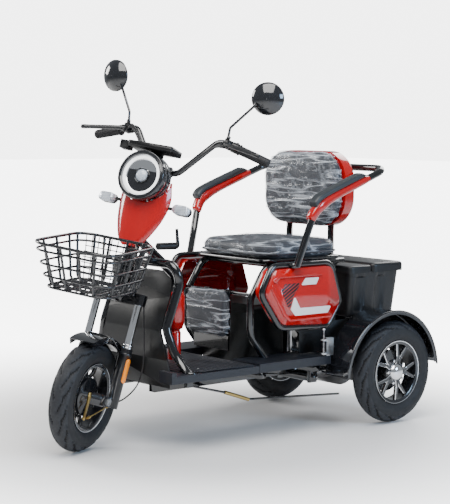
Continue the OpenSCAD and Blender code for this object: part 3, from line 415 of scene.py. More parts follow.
# The leg shield: a moulded black plastic sheet with a fine grain that closes the front under the
# basket and is screwed to the front hoop.
black_plastic = surface((0.004, 0.0043, 0.005), 0.36, name="black_plastic", grain=1400, depth=0.00012,
                        mottle=5)
coated(black_plastic, "leg_shield", "battery_case", "bar_controls")
coated(surface((0.30, 0.004, 0.005), 0.15, name="tail_red", Coat_Weight=0.8), "tail_lamp")

# The bag hook: a stout black plastic arm on the down tube, whose end turns up into a tapered horn so that a
# bag's handles stay on it.
hook_low, hook_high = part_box("bag_hook")
hook = bpy.data.curves.new("bag_horn", "CURVE")
hook.dimensions, hook.bevel_depth, hook.bevel_resolution, hook.use_fill_caps = "3D", 0.001, 5, True
middle = (hook_low.x + hook_high.x) / 2
route = rounded([(middle, hook_low.y + 0.004, hook_low.z + 0.014),
                 (middle, hook_high.y - 0.014, hook_low.z + 0.012),
                 (middle, hook_high.y - 0.020, hook_high.z - 0.002)], 0.012, 6)
spline = hook.splines.new("POLY")
spline.points.add(len(route) - 1)
for place, (knot, p) in enumerate(zip(spline.points, route)):
    knot.co, knot.radius = (*p, 1), 12.5 - 7.5 * max(0.0, place - 2) / (len(route) - 3)
spline.use_smooth = True
hook.materials.append(black_plastic)
horn = bpy.data.objects.new("bag_horn", hook)
scene.collection.objects.link(horn)
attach(horn, "chassis")
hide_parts("bag_hook")

# The foot deck and the side steps: thick grey-black mouldings with a rounded edge, bolted to the floor
# rails. They have one grained finish.
step_plastic = surface((0.009, 0.011, 0.017), 0.38, name="step_plastic", grain=900, depth=0.0002, mottle=6)
coated(step_plastic, "deck_panel", "side_steps")

# The mat: a black rubber sheet laid on the deck, moulded with rows of raised ribs on both sides of a smooth
# middle strip.
mat_rubber = surface((0.018, 0.020, 0.026), 0.5, name="mat_rubber", grain=500, depth=0.0006, mottle=30,
                     worn=0.5)
coated(mat_rubber, "floor_mat")
ribs = []
for row in range(13):
    near, far, inner = 262 + 21 * row, 268 + 21 * row, 60 + 6 * (row % 2)
    for side in (-1, 1):
        run = [(side * inner, near), (side * 250, near), (side * 250, far), (side * inner, far)]
        ribs.append(plate(rounded(run, 2.5, 2, True), 265.5, 267.6, 0.8))
part("mat_ribs", joined(*ribs), chassis, [mat_rubber], "chassis")

# The red covers: injection-moulded plastic in a deep gloss red under clear coat, on both sides under the
# seat, on the post between the feet, behind the backrest and below the armrests.
red_gloss = surface((0.46, 0.0003, 0.0006), 0.17, name="red_gloss", depth=0.00002, spread=0.05, worn=0.08,
                    Coat_Weight=1.0, Coat_Roughness=0.03)
coated(red_gloss, "side_panels", "centre_post_cover")

# The panel's trim: a pressed recess in the shape of a hook, filled by a white strip and a dark one
# with slanting lines, on both side panels.
white_trim = surface((0.82, 0.82, 0.84), 0.25, name="white_trim", worn=0.05)


def striped(spot):
    place = spot.node("Mapping", {}, {"Vector": spot, "Rotation": (math.radians(60), 0, 0)})
    wave = spot.node("TexWave", {"bands_direction": "Y"}, {"Vector": place, "Scale": 30.0})
    lines = wave > 0.8
    return {"Base Color": lines.mixed((0.008, 0.008, 0.01, 1), (0.45, 0.01, 0.01, 1)),
            "Roughness": 0.25 + 0.1 * noise_of(spot, 60),
            "Normal": spot.node("Bump", {}, {"Strength": 1.0, "Distance": 0.0003, "Height": lines})}


def side_on(side):
    """Stands a plate that is drawn from the side, in y and z, to face the left or the right."""
    return chassis @ Matrix(((0, 0, side, 0), (1, 0, 0, 0), (0, 1, 0, 0), (0, 0, 0, 1)))


stripe_trim = finish("stripe_trim", striped)
panel_face = 271
panel_back = panel_face - 2
white_strip = [(742, 523), (814, 523), (828, 547), (762, 547)]
white_hook = [(694, 442), (716, 419), (872, 419), (889, 443), (738, 445), (712, 487)]
dark_patch = [(666, 532), (740, 532), (706, 487), (692, 446), (680, 452), (650, 510)]
rim_over = [(604, 546), (630, 560), (836, 560), (842, 553), (640, 553), (622, 536)]
rim_under = [(604, 538), (622, 512), (676, 424), (694, 409), (896, 409), (888, 401), (688, 401), (662, 420),
             (600, 518)]
for side, name in ((1, "left"), (-1, "right")):
    place = side_on(side)
    white = joined(plate(rounded(white_strip, 3, 3, True), panel_back, panel_face + 2.4, 1),
                   plate(rounded(white_hook, 4, 3, True), panel_back, panel_face + 2.4, 1))
    dark = plate(rounded(dark_patch, 5, 3, True), panel_back, panel_face + 1.6, 0.8)
    rim = joined(*[plate(rounded(path, 4, 3, True), panel_back, panel_face + 4.5, 2.2, segments=3)
                   for path in (rim_over, rim_under)])
    part(f"panel_trim_white_{name}", white, place, [white_trim], "chassis")
    part(f"panel_trim_dark_{name}", dark, place, [stripe_trim], "chassis", turned_over=True)
    part(f"panel_rim_{name}", rim, place, [red_gloss], "chassis", turned_over=True)

# The cushions: foam under dark grey leather cloth, sewn with a welt round the side. The seat is crowned,
# the backrest is a soft cushion on a red shell, and the child's pad is buttoned to its frame.


def leathered(spot):
    cells = spot.node("TexVoronoi", {"feature": "DISTANCE_TO_EDGE"}, {"Vector": spot, "Scale": 520.0})
    folds = noise_of(spot, 26, 4)
    return {"Base Color": noise_of(spot, 12).mixed((0.030, 0.033, 0.041, 1), (0.062, 0.067, 0.080, 1)),
            "Roughness": 0.40 + 0.16 * noise_of(spot, 80),
            "Normal": spot.node("Bump", {}, {"Strength": 1.0, "Distance": 0.0004,
                                             "Height": cells + 2.0 * folds})}


grey_leather = finish("grey_leather", leathered, Sheen_Weight=0.1)


def pad(name, size, corner, crown, place, voxel, most, body, instead):
    """A cushion: a rounded block, remeshed, swelled against its cover, kept within the room it has."""
    wide, deep, thick = size
    bm = bmesh.new()
    bmesh.ops.create_cube(bm, size=1)
    bmesh.ops.scale(bm, vec=(wide - 6, deep - 6, thick - 6), verts=bm.verts)
    upright = [e for e in bm.edges if abs(e.verts[0].co.z - e.verts[1].co.z) > thick / 2]
    bmesh.ops.bevel(bm, geom=upright, offset=corner, offset_type="OFFSET", affect="EDGES", segments=10,
                    profile=0.5, material=-1, clamp_overlap=True)
    flat = [e for e in bm.edges if abs(e.verts[0].co.z - e.verts[1].co.z) < 1e-4]
    bmesh.ops.bevel(bm, geom=flat, offset=thick * 0.3, offset_type="OFFSET", affect="EDGES", segments=4,
                    profile=0.5, material=-1, clamp_overlap=True)
    bmesh.ops.transform(bm, matrix=place @ MM, verts=bm.verts)
    mesh = bpy.data.meshes.new(name)
    bm.to_mesh(mesh)
    bm.free()
    made = bpy.data.objects.new(name, mesh)
    scene.collection.objects.link(made)
    made.modifiers.new("skin", "REMESH").mode = "VOXEL"
    made.modifiers["skin"].voxel_size = voxel
    dg = bpy.context.evaluated_depsgraph_get()
    skin = bpy.data.meshes.new_from_object(made.evaluated_get(dg))
    made.modifiers.clear()
    made.data = skin
    rest = [v.co.copy() for v in skin.vertices]
    cloth = made.modifiers.new("cover", "CLOTH")
    cloth.settings.use_pressure = True
    cloth.settings.uniform_pressure_force = 4
    cloth.settings.effector_weights.gravity = 0
    for step in range(1, 21):
        scene.frame_set(step)
    swelled = bpy.data.meshes.new_from_object(made.evaluated_get(bpy.context.evaluated_depsgraph_get()))
    made.modifiers.clear()
    scene.frame_set(1)
    made.data = swelled
    for v, was in zip(swelled.vertices, rest):
        moved = v.co - was
        if moved.length > most:
            v.co = was + moved * (most / moved.length)
    to_frame = place @ MM
    to_pad = to_frame.inverted()
    for v in made.data.vertices:
        p = to_pad @ v.co
        u, w = min(1, abs(p.x) / (wide / 2)), min(1, abs(p.y) / (deep / 2))
        p.x = max(-wide / 2, min(wide / 2, p.x))
        p.y = max(-deep / 2, min(deep / 2, p.y))
        if p.z > 0:
            p.z = min(p.z, thick / 2) - crown * (1 - (1 - u ** 2.2) * (1 - w ** 2.2))
        else:
            p.z = max(p.z, -thick / 2)
        v.co = to_frame @ p
    for face in made.data.polygons:
        face.use_smooth = True
    made.data.materials.clear()
    made.data.materials.append(grey_leather)
    made.modifiers.new("softened", "SUBSURF").levels = 1
    made.modifiers["softened"].render_levels = 1
    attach(made, body)
    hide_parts(*instead)
    return made


seat_at = chassis @ Matrix.Translation((0, 0.8375, 0.642))
pad("seat_cushion_soft", (398, 387, 68), 76, 14, seat_at, 0.006, 0.010, "chassis",
    ["seat_cushion"])
back_y, back_z = 1.0, 0.843
back_at = chassis @ Matrix.Translation((0, back_y, back_z)) @ Matrix.Rotation(math.pi / 2, 4, "X")
pad("backrest_cushion_soft", (404, 282, 60), 104, 12, back_at, 0.006, 0.010, "chassis",
    ["backrest_cushion"])
child_at = chassis @ Matrix.Translation((0, 0.5495, 0.419)) @ Matrix.Rotation(math.pi / 2, 4, "X")
pad("child_pad_soft", (230, 172, 35), 40, 6, child_at, 0.005, 0.006, "child_seat",
    ["child_seat_pad"])
outline = rounded([(-194, -188, 0), (194, -188, 0), (194, 188, 0), (-194, 188, 0)], 74, 10, True)
rods("seat_welt", [outline], 5, seat_at @ Matrix.Translation((0, 0, -0.016)), grey_leather, "chassis",
     closed=True)

# The back shell: a red moulding behind the backrest cushion, with round corners and a rounded rear edge,
# fixed to the two posts.
shell_low, shell_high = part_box("backrest_shell")
wide, tall = (shell_high.x - shell_low.x) * 500, (shell_high.z - shell_low.z) * 500
lift = (shell_high.z + shell_low.z) * 500 - back_z * 1000
outline = [(-wide, lift - tall), (wide, lift - tall), (wide, lift + tall), (-wide, lift + tall)]
shell = plate(rounded(outline, 108, 12, True), (shell_low.y - forward - back_y) * 1000,
              (shell_high.y - forward - back_y) * 1000, 11, segments=5)
part("backrest_shell_red", shell, back_at @ Matrix.Rotation(math.pi, 4, "Y"), [red_gloss], "chassis",
     ["backrest_shell"])

# The packing film: clear thin sheet wrapped round the three cushions and gathered in creases, which carry
# painted highlights. It is open where each cushion is fixed.


def clear_film(spot):
    long = spot.node("Mapping", {}, {"Vector": spot, "Rotation": (0, 0.12, 0), "Scale": (3.0, 5.0, 30.0)})
    drawn, crumpled = noise_of(long, 1.0, 2.5), noise_of(spot, 13, 4)
    crease = 1.0 - abs(drawn - 0.5) * 19.0
    fine = 1.0 - abs(crumpled - 0.5) * 24.0
    lines = spot.node("Clamp", {}, {"Value": crease.sum("MAXIMUM", crease, fine * 0.55), "Min": 0.0,
                                    "Max": 1.0})
    # The crease lines are painted pale over a dark blue-grey tint and made more opaque there: a painted
    # highlight along each crease.
    return {"Base Color": lines.mixed((0.06, 0.075, 0.10, 1), (0.74, 0.80, 0.88, 1)),
            "Alpha": 0.15 + 0.42 * lines,
            "Roughness": 0.10 + 0.1 * noise_of(spot, 90),
            "Normal": spot.node("Bump", {}, {"Strength": 1.0, "Distance": 0.006,
                                             "Height": drawn * 3.0 + crumpled})}


film = finish("clear_film", clear_film, IOR=1.5)


def wrap(name, source, place, stretch, deep, lift, cut, body):
    """A film pulled over a cushion: its skin moved out, with creases, and open where the cushion is fixed."""
    mesh = source.data.copy()
    made = bpy.data.objects.new(name, mesh)
    scene.collection.objects.link(made)
    bm = bmesh.new()
    bm.from_mesh(mesh)
    bm.normal_update()
    back = (place @ MM).inverted()
    away = []
    for v in bm.verts:
        p = back @ v.co
        if p.z < cut:
            away.append(v)
            continue
        q = Vector((p.x * stretch[0], p.y * stretch[1], p.z * stretch[2]))
        fold = 1 - abs(noise.noise(q)) * 2.2 + 0.5 * noise.noise(q * 2.7)
        v.co += v.normal * (lift + deep * max(0.0, fold)) * 0.001
    bmesh.ops.delete(bm, geom=away, context="VERTS")
    bm.to_mesh(mesh)
    area = sum(face.calc_area() for face in bm.faces)
    bm.free()
    mesh.materials.clear()
    mesh.materials.append(film)
    wide = round(math.sqrt(area * 1.5), 2)
    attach(made, body)
    round(area * 0.95, 4)
    return made


for name, cushion, place, stretch, deep, lift, cut, body in (
        ("film_seat", "seat_cushion_soft", seat_at, (0.008, 0.008, 0.03), 3.5, 1.2, -26, "chassis"),
        ("film_back", "backrest_cushion_soft", back_at, (0.006, 0.055, 0.02), 4.5, 1.2, -24, "chassis"),
        ("film_child", "child_pad_soft", child_at, (0.010, 0.045, 0.03), 4.0, 1.0, -12, "child_seat")):
    wrap(name, bpy.data.objects[cushion], place, stretch, deep, lift, cut, body)

# The armrests: soft grey pads on the sloping rail, moulded over the bend, each held from below by a
# red shell that wraps the tube. The covers begin above the joint with the side tube.
rail = [(313, 806, 822), (313, 860, 842), (313, 930, 866.5)]
pad_grey = surface((0.022, 0.027, 0.032), 0.42, name="pad_grey", grain=700, depth=0.0002, mottle=14)
for side, name in ((1, "left"), (-1, "right")):
    place = chassis if side > 0 else chassis @ flip
    for piece, across, up, down, path, coat, slot, nodes in (
            ("armrest_pad", 20, 27, -5, [(310, 764, 790), (313, 780, 809), *rail, (313, 1000, 891)],
             pad_grey, "soft_black", ["armrest_pads"]),
            ("armrest_cover", 18.5, 9, 22,
             [(303, 744, 752), (308, 756, 777), (313, 776, 804), *rail, (313, 1014, 896)],
             red_gloss, "red_gloss", ["armrest_shells"])):
        line = flowing(path, 30)
        bm = bmesh.new()
        rings = []
        for i, p in enumerate(line):
            along = (line[min(i + 1, 30)] - line[max(i - 1, 0)]).normalized()
            over = Vector((1, 0, 0)).cross(along)
            end = min(1, (i + 0.6) / 2.2, (30.6 - i) / 2.2)
            rise, drop = (up + 6) * end ** 0.5 - 6, down + 5 * (end ** 0.5 - 1)
            if piece == "armrest_cover":
                drop += 9 * math.exp(-((i - 12) / 6) ** 2)
            ring = []
            for k in range(16):
                q = 2 * math.pi * k / 16
                x = across * (0.8 + 0.2 * end) * math.copysign(abs(math.cos(q)) ** 0.7, math.cos(q))
                z = math.copysign(abs(math.sin(q)) ** 0.7, math.sin(q))
                height = (rise + drop) / 2 * z + (rise - drop) / 2
                ring.append(bm.verts.new(p + Vector((x, 0, 0)) + over * height))
            rings.append(ring)
        for a, b in zip(rings, rings[1:]):
            for k in range(16):
                bm.faces.new((a[k], a[(k + 1) % 16], b[(k + 1) % 16], b[k]))
        bm.faces.new(rings[0])
        bm.faces.new(rings[-1])
        made = part(f"{piece}_{name}", bm, place, [coat], "chassis", nodes if side > 0 else (),
                    sharp=50, turned_over=True)
        piece == "armrest_pad"

# The rear box: a moulded black bin on the rear rails with upright flutes in its walls, a flat front cover,
# and a crowned lid that hinges at its front edge.
box_plastic = surface((0.007, 0.0075, 0.009), 0.38, name="box_plastic", grain=1100, depth=0.00018, mottle=5)
bm = bmesh.new()
rings = []
flute_deep, flute_wide = 8, 52
levels = [380.5, 384, 392, 400, 430, 470, 500, 514, 522, 528, 545]
for z in levels:
    t = (z - 380.3) / 164.7
    half, front, rear = 199 + 16 * t, 1057 - 12 * t, 1295 + 12 * t
    outline = rounded([(-half, front), (half, front), (half, rear), (-half, rear)], 26, 5, True)
    dense = []
    for a, b in zip(outline, outline[1:] + outline[:1]):
        pieces = max(1, round((b - a).length / 6))
        dense += [a.lerp(b, k / pieces) for k in range(pieces)]
    ring = []
    for p in dense:
        inset = 0.0
        if 396 < z < 524:
            along_x = abs(abs(p.x) - half) < 0.5
            span, reach = (p.y - (front + rear) / 2, 104) if along_x else (p.x, 156)
            if abs(span) < reach and (along_x or abs(p.y - front) < 0.5 or abs(p.y - rear) < 0.5):
                inset = flute_deep * max(0.0, math.sin(math.pi * (span + reach) / flute_wide)) ** 0.5
        if z < 382:
            inset = 3
        if abs(abs(p.x) - half) < 0.5:
            ring.append((p.x - math.copysign(inset, p.x), p.y, z))
        else:
            ring.append((p.x, p.y + math.copysign(inset, (front + rear) / 2 - p.y), z))
    rings.append(ring)
count = min(len(r) for r in rings)
rings = [[r[int(k * len(r) / count)] for k in range(count)] for r in rings]
rings = [[bm.verts.new(p) for p in r] for r in rings]
for a, b in zip(rings, rings[1:]):
    for k in range(count):
        bm.faces.new((a[k], a[(k + 1) % count], b[(k + 1) % count], b[k]))
bm.faces.new(rings[0])
bm.faces.new(rings[-1])
cover = plate(rounded([(-225, 1033), (225, 1033), (225, 1149), (-225, 1149)], 18, 5, True), 541, 567, 7,
              segments=4)
part("rear_box_shell", joined(bm, cover), chassis, [box_plastic], "chassis", ["rear_box"],
     turned_over=True)
lid = plate(rounded([(-225, 1151), (225, 1151), (225, 1318), (-225, 1318)], 22, 6, True), 541, 560, 0)
crown = plate(rounded([(-225, 1151), (225, 1151), (225, 1318), (-225, 1318)], 22, 6, True), 560, 574, 12,
              segments=6)
part("box_lid_crowned", joined(lid, crown), chassis, [box_plastic], "lid", ["box_lid"],
     turned_over=True)

# The rear mudguards: deep gloss black mouldings over the wheels with a rolled outer edge, and a shelf
# that carries them on the rear rails.
gloss_black = surface((0.009, 0.010, 0.013), 0.12, name="gloss_black", depth=0.00002, spread=0.05,
                      Coat_Weight=1.0, Coat_Roughness=0.02)
coated(gloss_black, "rear_mudguards", "front_mudguard", "headlamp_housing", "mirror_left", "mirror_right")
arch_y, arch_z = 1140, 175
arch = [(arch_y + 236 * math.cos(math.radians(q)), arch_z + 236 * math.sin(math.radians(q)))
        for q in range(6, 171, 4)]
for side, name in ((1, "left"), (-1, "right")):
    edge = [(345 * side, y, z) for y, z in arch] + [(342 * side, 908, 206), (334 * side, 894, 201)]
    lip = [(344 * side, 909, 210), (336 * side, 896, 205), (300 * side, 886, 203), (238 * side, 884, 204)]
    rods(f"mudguard_roll_{name}", [edge], 8, chassis, gloss_black, "chassis")
    rods(f"mudguard_lip_{name}", [rounded(lip, 14)], 7, chassis, gloss_black, "chassis")

# The inner walls: black plastic sheets, one behind each rear wheel inside its mudguard and one on each side
# under the seat, that close the view to the axle with black where it lies in shade: a painted shade.
fan = [(arch_y + 233 * math.cos(math.radians(q)), arch_z + 233 * math.sin(math.radians(q)))
       for q in range(4, 174, 5)]
fan += [(arch_y + 120 * math.cos(math.radians(q)), arch_z + 120 * math.sin(math.radians(q)))
        for q in range(169, 8, -10)]
wall = rounded([(806, 270), (1050, 270), (1050, 376), (806, 376)], 6, 3, True)
for side, name in ((1, "left"), (-1, "right")):
    # Each sheet is a painted shade, black set in a shaded gap.
    for piece, shape in (("mudguard", plate(fan, 238.2, 240.5, 0.6)), ("seat", plate(wall, 196, 199, 0.8))):
        part(f"{piece}_wall_{name}", shape, side_on(side), [black_plastic], "chassis",
             turned_over=True)

# The tyres: black rubber with a round shoulder, long curved grooves in pairs across the tread and a
# moulded ridge by the bead. The three are alike.


def rubber(spot):
    dust = noise_of(spot, 70, 5)
    return {"Base Color": dust.mixed((0.004, 0.0045, 0.006, 1), (0.013, 0.014, 0.017, 1)),
            "Roughness": 0.55 + 0.25 * noise_of(spot, 30),
            "Normal": spot.node("Bump", {}, {"Strength": 1.0, "Distance": 0.0005,
                                             "Height": noise_of(spot, 420, 4)})}


tyre_rubber = finish("tyre_rubber", rubber)
tread_rubber = surface((0.017, 0.019, 0.024), 0.66, name="tread_rubber", worn=0.75, mottle=120, grain=520,
                       depth=0.0007, spread=0.3)
# The grooves' faces are near black, darker than the tread and the tyre's side: a painted shade in the grooves.
groove_rubber = surface((0.0015, 0.0015, 0.002), 0.8, name="groove_rubber")
sideways = Matrix.Rotation(math.pi / 2, 4, "Y")
wheels = {"rear_left": (chassis @ Matrix.Translation((0.302, 1.174, axle_height)) @ sideways,
                        "rear_wheel_left"),
          "rear_right": (chassis @ Matrix.Translation((-0.302, 1.174, axle_height)) @ sideways.inverted(),
                         "rear_wheel_right"),
          "front": (fork @ Matrix.Translation((0, -0.0569, -0.0189)) @ sideways, "front_wheel")}


def wheel_node(kind, wheel):
    """The name of the tyre or rim that a wheel's own piece stands for."""
    return f"front_{kind}" if wheel == "front" else wheel.replace("rear", f"rear_{kind}")


middle_radius, section, inside, groove = 144.5, 39.6, 33, 5.0
profile = []
for k in range(-23, 24):
    q, out = math.radians(6 * k), section + (0.65 if 16 <= abs(k) <= 17 else 0)
    profile.append((middle_radius + out * math.cos(q), out * math.sin(q)))
profile += [(middle_radius + inside * math.cos(math.radians(q)), inside * math.sin(math.radians(q)))
            for q in (128, 90, 50, 0, -50, -90, -128)]
long_groove, short_groove = (1.5, 0.10, 1.02), (0.7, 0.42, 1.05)
grooves = ((1, 0.0, *long_groove), (-1, 0.5, *long_groove), (1, 0.45, *short_groove),
           (-1, 0.95, *short_groove))
for name, (place, body) in wheels.items():
    bm = turned(profile, 420)
    cut = set()
    for v in bm.verts:
        r, z = math.hypot(v.co.x, v.co.y), v.co.z
        tilt = math.atan2(z, r - middle_radius)
        if math.hypot(r - middle_radius, z) < 36 or abs(tilt) > 1.25:
            continue
        depth, round_wheel = 0.0, math.atan2(v.co.y, v.co.x) / (2 * math.pi)
        for half, start, sweep, low, high in grooves:
            a = tilt / 1.12 * half
            if low < a < high:
                gap = (round_wheel * 14 + start + sweep * a ** 1.6) % 1 - 0.5
                fade = min(1, (a - low) * 12, (high - a) * 12)
                depth = max(depth, fade * max(0.0, 1 - (abs(gap) / 0.10) ** 4))
        if depth > 0.3:
            cut.add(v)
        if depth:
            flat = 1 - middle_radius / r
            v.co -= Vector((v.co.x * flat, v.co.y * flat, z)).normalized() * groove * depth
    for face in bm.faces:
        middle = face.calc_center_median()
        # Faces in the grooves take the near-black rubber, the painted shade.
        if sum(v in cut for v in face.verts) >= 3:
            face.material_index = 2
        elif math.hypot(middle.x, middle.y) > 160:
            face.material_index = 1
    part(f"tyre_{name}", bm, place, [tyre_rubber, tread_rubber, groove_rubber], body,
         [wheel_node("tyre", name)], sharp=60)

# The rear rims: cast aluminium with five split spokes, painted black and then skimmed so that the spokes'
# edges and the outer lip are bright, with a domed hub cap and chrome bolts.
wheel_black = surface((0.012, 0.013, 0.016), 0.2, name="wheel_black", depth=0.00004, Coat_Weight=0.8,
                      Coat_Roughness=0.05)
bright_cut = surface((0.86, 0.87, 0.89), 0.16, name="bright_cut", metallic=1.0, worn=0.06, grain=1600,
                     depth=0.00003)
chrome = surface((0.90, 0.91, 0.93), 0.06, name="chrome", metallic=1.0, worn=0.03, spread=0.05)
silver_steel = surface((0.62, 0.63, 0.65), 0.30, name="silver_steel", metallic=1.0, worn=0.1)
brass = surface((0.62, 0.44, 0.16), 0.30, name="brass", metallic=1.0, worn=0.2)


def arm(inner, outer, near, far, half, low, high):
    """One spoke arm from one angle and radius to another, with its edges skimmed bright."""
    a = Vector((inner * math.cos(near), inner * math.sin(near)))
    b = Vector((outer * math.cos(far), outer * math.sin(far)))
    across = Vector((a.y - b.y, b.x - a.x)).normalized()
    outline = [a - across * half * 1.3, b - across * half, b + across * half, a + across * half * 1.3]
    return plate(outline, low, high, 2.0, 1, 0, 1)


for name in ("rear_left", "rear_right", "front"):
    place, body = wheels[name]
    shapes = [turned([(102, -27), (102, 27), (106, 29), (114.2, 30.8), (114.2, 27.6), (108, 25), (108, -25),
                      (114.2, -27.6), (114.2, -30.8), (106, -29)], 96)]
    shapes.append(turned([(108, 29.2), (114.4, 31.0), (114.4, 29.6), (108, 27.6)], 96, coat=1))
    shapes.append(turned([(108, -29.2), (114.4, -31.0), (114.4, -29.6), (108, -27.6)], 96, coat=1))
    low, high = (12, 24) if name != "front" else (-24, -14)
    for k in range(5):
        q = 2 * math.pi * k / 5 + 0.3
        for inner, outer, near, far, half in ((20, 62, 0.10, 0.12, 6.4), (58, 104, 0.14, 0.26, 5.6)):
            shapes += [arm(inner, outer, q - near, q - far, half, low, high),
                       arm(inner, outer, q + near, q + far, half, low, high)]
        nut = turned([(0, high - 1), (4.6, high - 1), (4.6, high + 4), (0, high + 4)], 6, closed=False,
                     coat=2)
        bmesh.ops.translate(nut, vec=(42 * math.cos(q + 0.63), 42 * math.sin(q + 0.63), -2), verts=nut.verts)
        shapes.append(nut)
    shapes.append(turned([(10.1, low - 10), (44, low - 6), (46, low + 4), (40, high - 3), (10.1, high - 2)],
                         48))
    if name == "front":
        shapes.append(turned([(9, -28), (60, -28), (64, -24), (64, 8.6), (58, 8.6), (58, 0), (9, 0)], 64))
        for k in range(24):
            fin = plate([(64, -1.4), (72, -1.2), (72, 1.2), (64, 1.4)], -26, -6, 0)
            bmesh.ops.rotate(fin, cent=(0, 0, 0), matrix=Matrix.Rotation(2 * math.pi * k / 24, 3, "Z"),
                             verts=fin.verts)
            shapes.append(fin)
    else:
        shapes.append(turned([(10.1, -32), (76, -32), (76, -24), (24, -22), (24, 12), (10.1, 12)], 64))
        shapes.append(turned([(0, 42), (10, 41.4), (19, 39.4), (26, 35), (31, 29), (33.6, 22.4), (33.6, 20),
                              (0, 20)], 48, closed=False, coat=2))
    part(f"rim_{name}", joined(*shapes), place, [wheel_black, bright_cut, chrome], body,
         [wheel_node("rim", name)])

# The front brake: a black drum plate held by the left leg, with its gold arm, and the wheel's steel axle.
coated(wheel_black, "front_brake_plate")
coated(brass, "front_brake_arm")
coated(silver_steel, "front_axle")

# The parking latch and the brake rod: a steel pin in a folded bracket at the side, and below the deck a black
# rod with a brass adjusting sleeve.
coated(silver_steel, "latch_pin", "latch_bracket")
coated(wheel_black, "brake_rod")
sleeve = [(145, 508, 158), (145, 560, 141), (145, 618, 121)]
rods("brake_rod_sleeve", [sleeve], 13, chassis, brass, "chassis")

# The front brake's rod: a threaded rod from the arm back to the cable's stop, with a nut at the arm.
rods("front_brake_rod", [[(43, -84, -88), (50, 44, -24)]], 4.6, fork, brass, "fork_lower")
rods("front_rod_nut", [[(43.3, -78, -85), (44, -66, -79)]], 10, fork, brass, "brake_arm", sides=1)
rods("front_rod_stop", [[(48.6, 20, -36), (49.4, 34, -29)]], 10, fork, brass, "fork_lower", sides=1)

# The rear axle: a black steel housing with the motor in its middle and a wheel on each end, swung on a tube
# ahead of it.
coated(wheel_black, "rear_axle")

# The rear springs: coils of steel rod that stand between the frame and the axle.
spring_low, spring_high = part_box("rear_springs")
springs = part("rear_springs_coiled", merged("rear_springs"), as_drawn, [silver_steel], None,
               ["rear_springs"])
across, along = (spring_low.x + spring_high.x) / 2, (spring_low.y + spring_high.y) / 2
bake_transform(springs)

# The fork: chrome tubes in black alloy lower legs, with two chrome rings over each leg's seal and an
# amber reflector on its outer face; a hoop over the wheel holds the mudguard.
coated(chrome, "fork_tubes")
coated(surface((0.010, 0.011, 0.014), 0.3, name="leg_black", Coat_Weight=0.4), "fork_legs")
# The reflector's lens has a weak amber emission, a painted glow: a reflector gives no light of its own.
amber = surface((0.95, 0.27, 0.01), 0.22, name="amber_lens", worn=0.1, grain=2600, depth=0.0004,
                Coat_Weight=1.0, Emission_Color=(1, 0.3, 0.02, 1), Emission_Strength=0.35)
for side, name in ((1, "left"), (-1, "right")):
    place = fork if side > 0 else fork @ flip
    for height in (167, 176):
        ring = turned([(12.7, -3), (17.4, -3), (18, -2), (18, 2), (17.4, 3), (12.7, 3)], 40)
        bmesh.ops.translate(ring, vec=(78, 0, height), verts=ring.verts)
        part(f"leg_ring_{name}_{height}", ring, place, [chrome], "fork_lower")
    face = (Matrix.Translation((0.0955, -0.003, 0.093)) @ Matrix.Rotation(math.pi / 2, 4, "Y")
            @ Matrix.Rotation(math.pi / 2, 4, "Z"))
    lens = plate(rounded([(-9, -41), (9, -41), (9, 41), (-9, 41)], 8.8, 6, True), -3, 5, 2.5, segments=3)
    part(f"reflector_{name}", lens, place @ face, [amber], "fork_lower")

# The grips: ribbed black rubber sleeves with a flange at the inner end. The right one is the throttle, and
# turns on the bar.
grip_rubber = surface((0.013, 0.013, 0.015), 0.6, name="grip_rubber", grain=700, depth=0.0003)
outline = [(11.2, 74), (19, 74), (19, 78), (15.2, 79)]
for k in range(24):
    u = 81 + k * 4.2
    outline += [(16, u), (16, u + 1.7), (15, u + 2.2), (15, u + 3.8)]
outline += [(16, 183), (14, 188), (0, 188), (0, 186), (11.2, 184)]
along = Matrix.Rotation(math.pi / 2, 4, "Y")
for name, place, body, node in (("left", bar_left, "steering", "grip_left"),
                                ("right", bar_right, "throttle", "throttle_grip")):
    part(f"grip_{name}", turned(outline, 40), place @ along, [grip_rubber], body, [node])

# The levers: black forged blades that taper to a rounded end, each pinned in the clamp on its own side of
# the handlebar.
lever_black = surface((0.012, 0.013, 0.015), 0.34, name="lever_black")
blade = rounded([(-9, -8), (40, -10), (120, -7), (140, -9), (153, -4), (153, 7), (140, 9), (120, 6), (50, 7),
                 (0, 9), (-9, 8)], 6, 4, True)
for name, place, body in (("left", bar_left, "lever_left"), ("right", bar_right, "lever_right")):
    at = place @ Matrix.Translation((0.034, -0.035, -0.008)) @ Matrix.Rotation(math.radians(-28.7), 4, "Z")
    shape = plate(blade, -6.5, 6.5, 4, segments=3)
    low_edges = [e for e in shape.edges if all(abs(v.co.z + 6.5) < 1e-4 for v in e.verts)]
    bmesh.ops.bevel(shape, geom=low_edges, offset=4, offset_type="OFFSET", affect="EDGES", segments=3,
                    profile=0.5, material=-1)
    part(f"lever_{name}", shape, at, [lever_black], body, [f"brake_lever_{name}"])

# The mirrors' glass: a flat round silvered plate set in the rear of each black shell, which it turns
# with.
glass = surface((0.90, 0.92, 0.94), 0.03, name="mirror_glass", metallic=1.0, worn=0.01, spread=0.01,
                depth=0.000005)
for side, name, body in ((1, "left", "mirror_l"), (-1, "right", "mirror_r")):
    place = (ahead if side > 0 else ahead @ flip) @ Matrix.Translation((0.297, 0.507, 1.197))
    place = place @ Matrix.Rotation(math.radians(14), 4, "Z") @ Matrix.Rotation(math.radians(90), 4, "X")
    part(f"mirror_glass_{name}", turned([(0, -5.6), (50, -5.6), (51, -4.6), (0, -4.6)], 48, closed=False),
         place, [glass], body)

# The headlamp: a deep black bowl with a white lit ring, a bright reflector above and a projector lens in
# its middle, behind a clear cover.
lamp_at = fork @ Matrix.Translation((0, -0.080, 0.734)) @ Matrix.Rotation(-math.pi / 2, 4, "X")


def lit(spot):
    return {"Emission Color": noise_of(spot, 60).mixed((0.86, 0.93, 1, 1), (1, 1, 1, 1)),
            "Roughness": 0.3 + 0.1 * noise_of(spot, 90)}


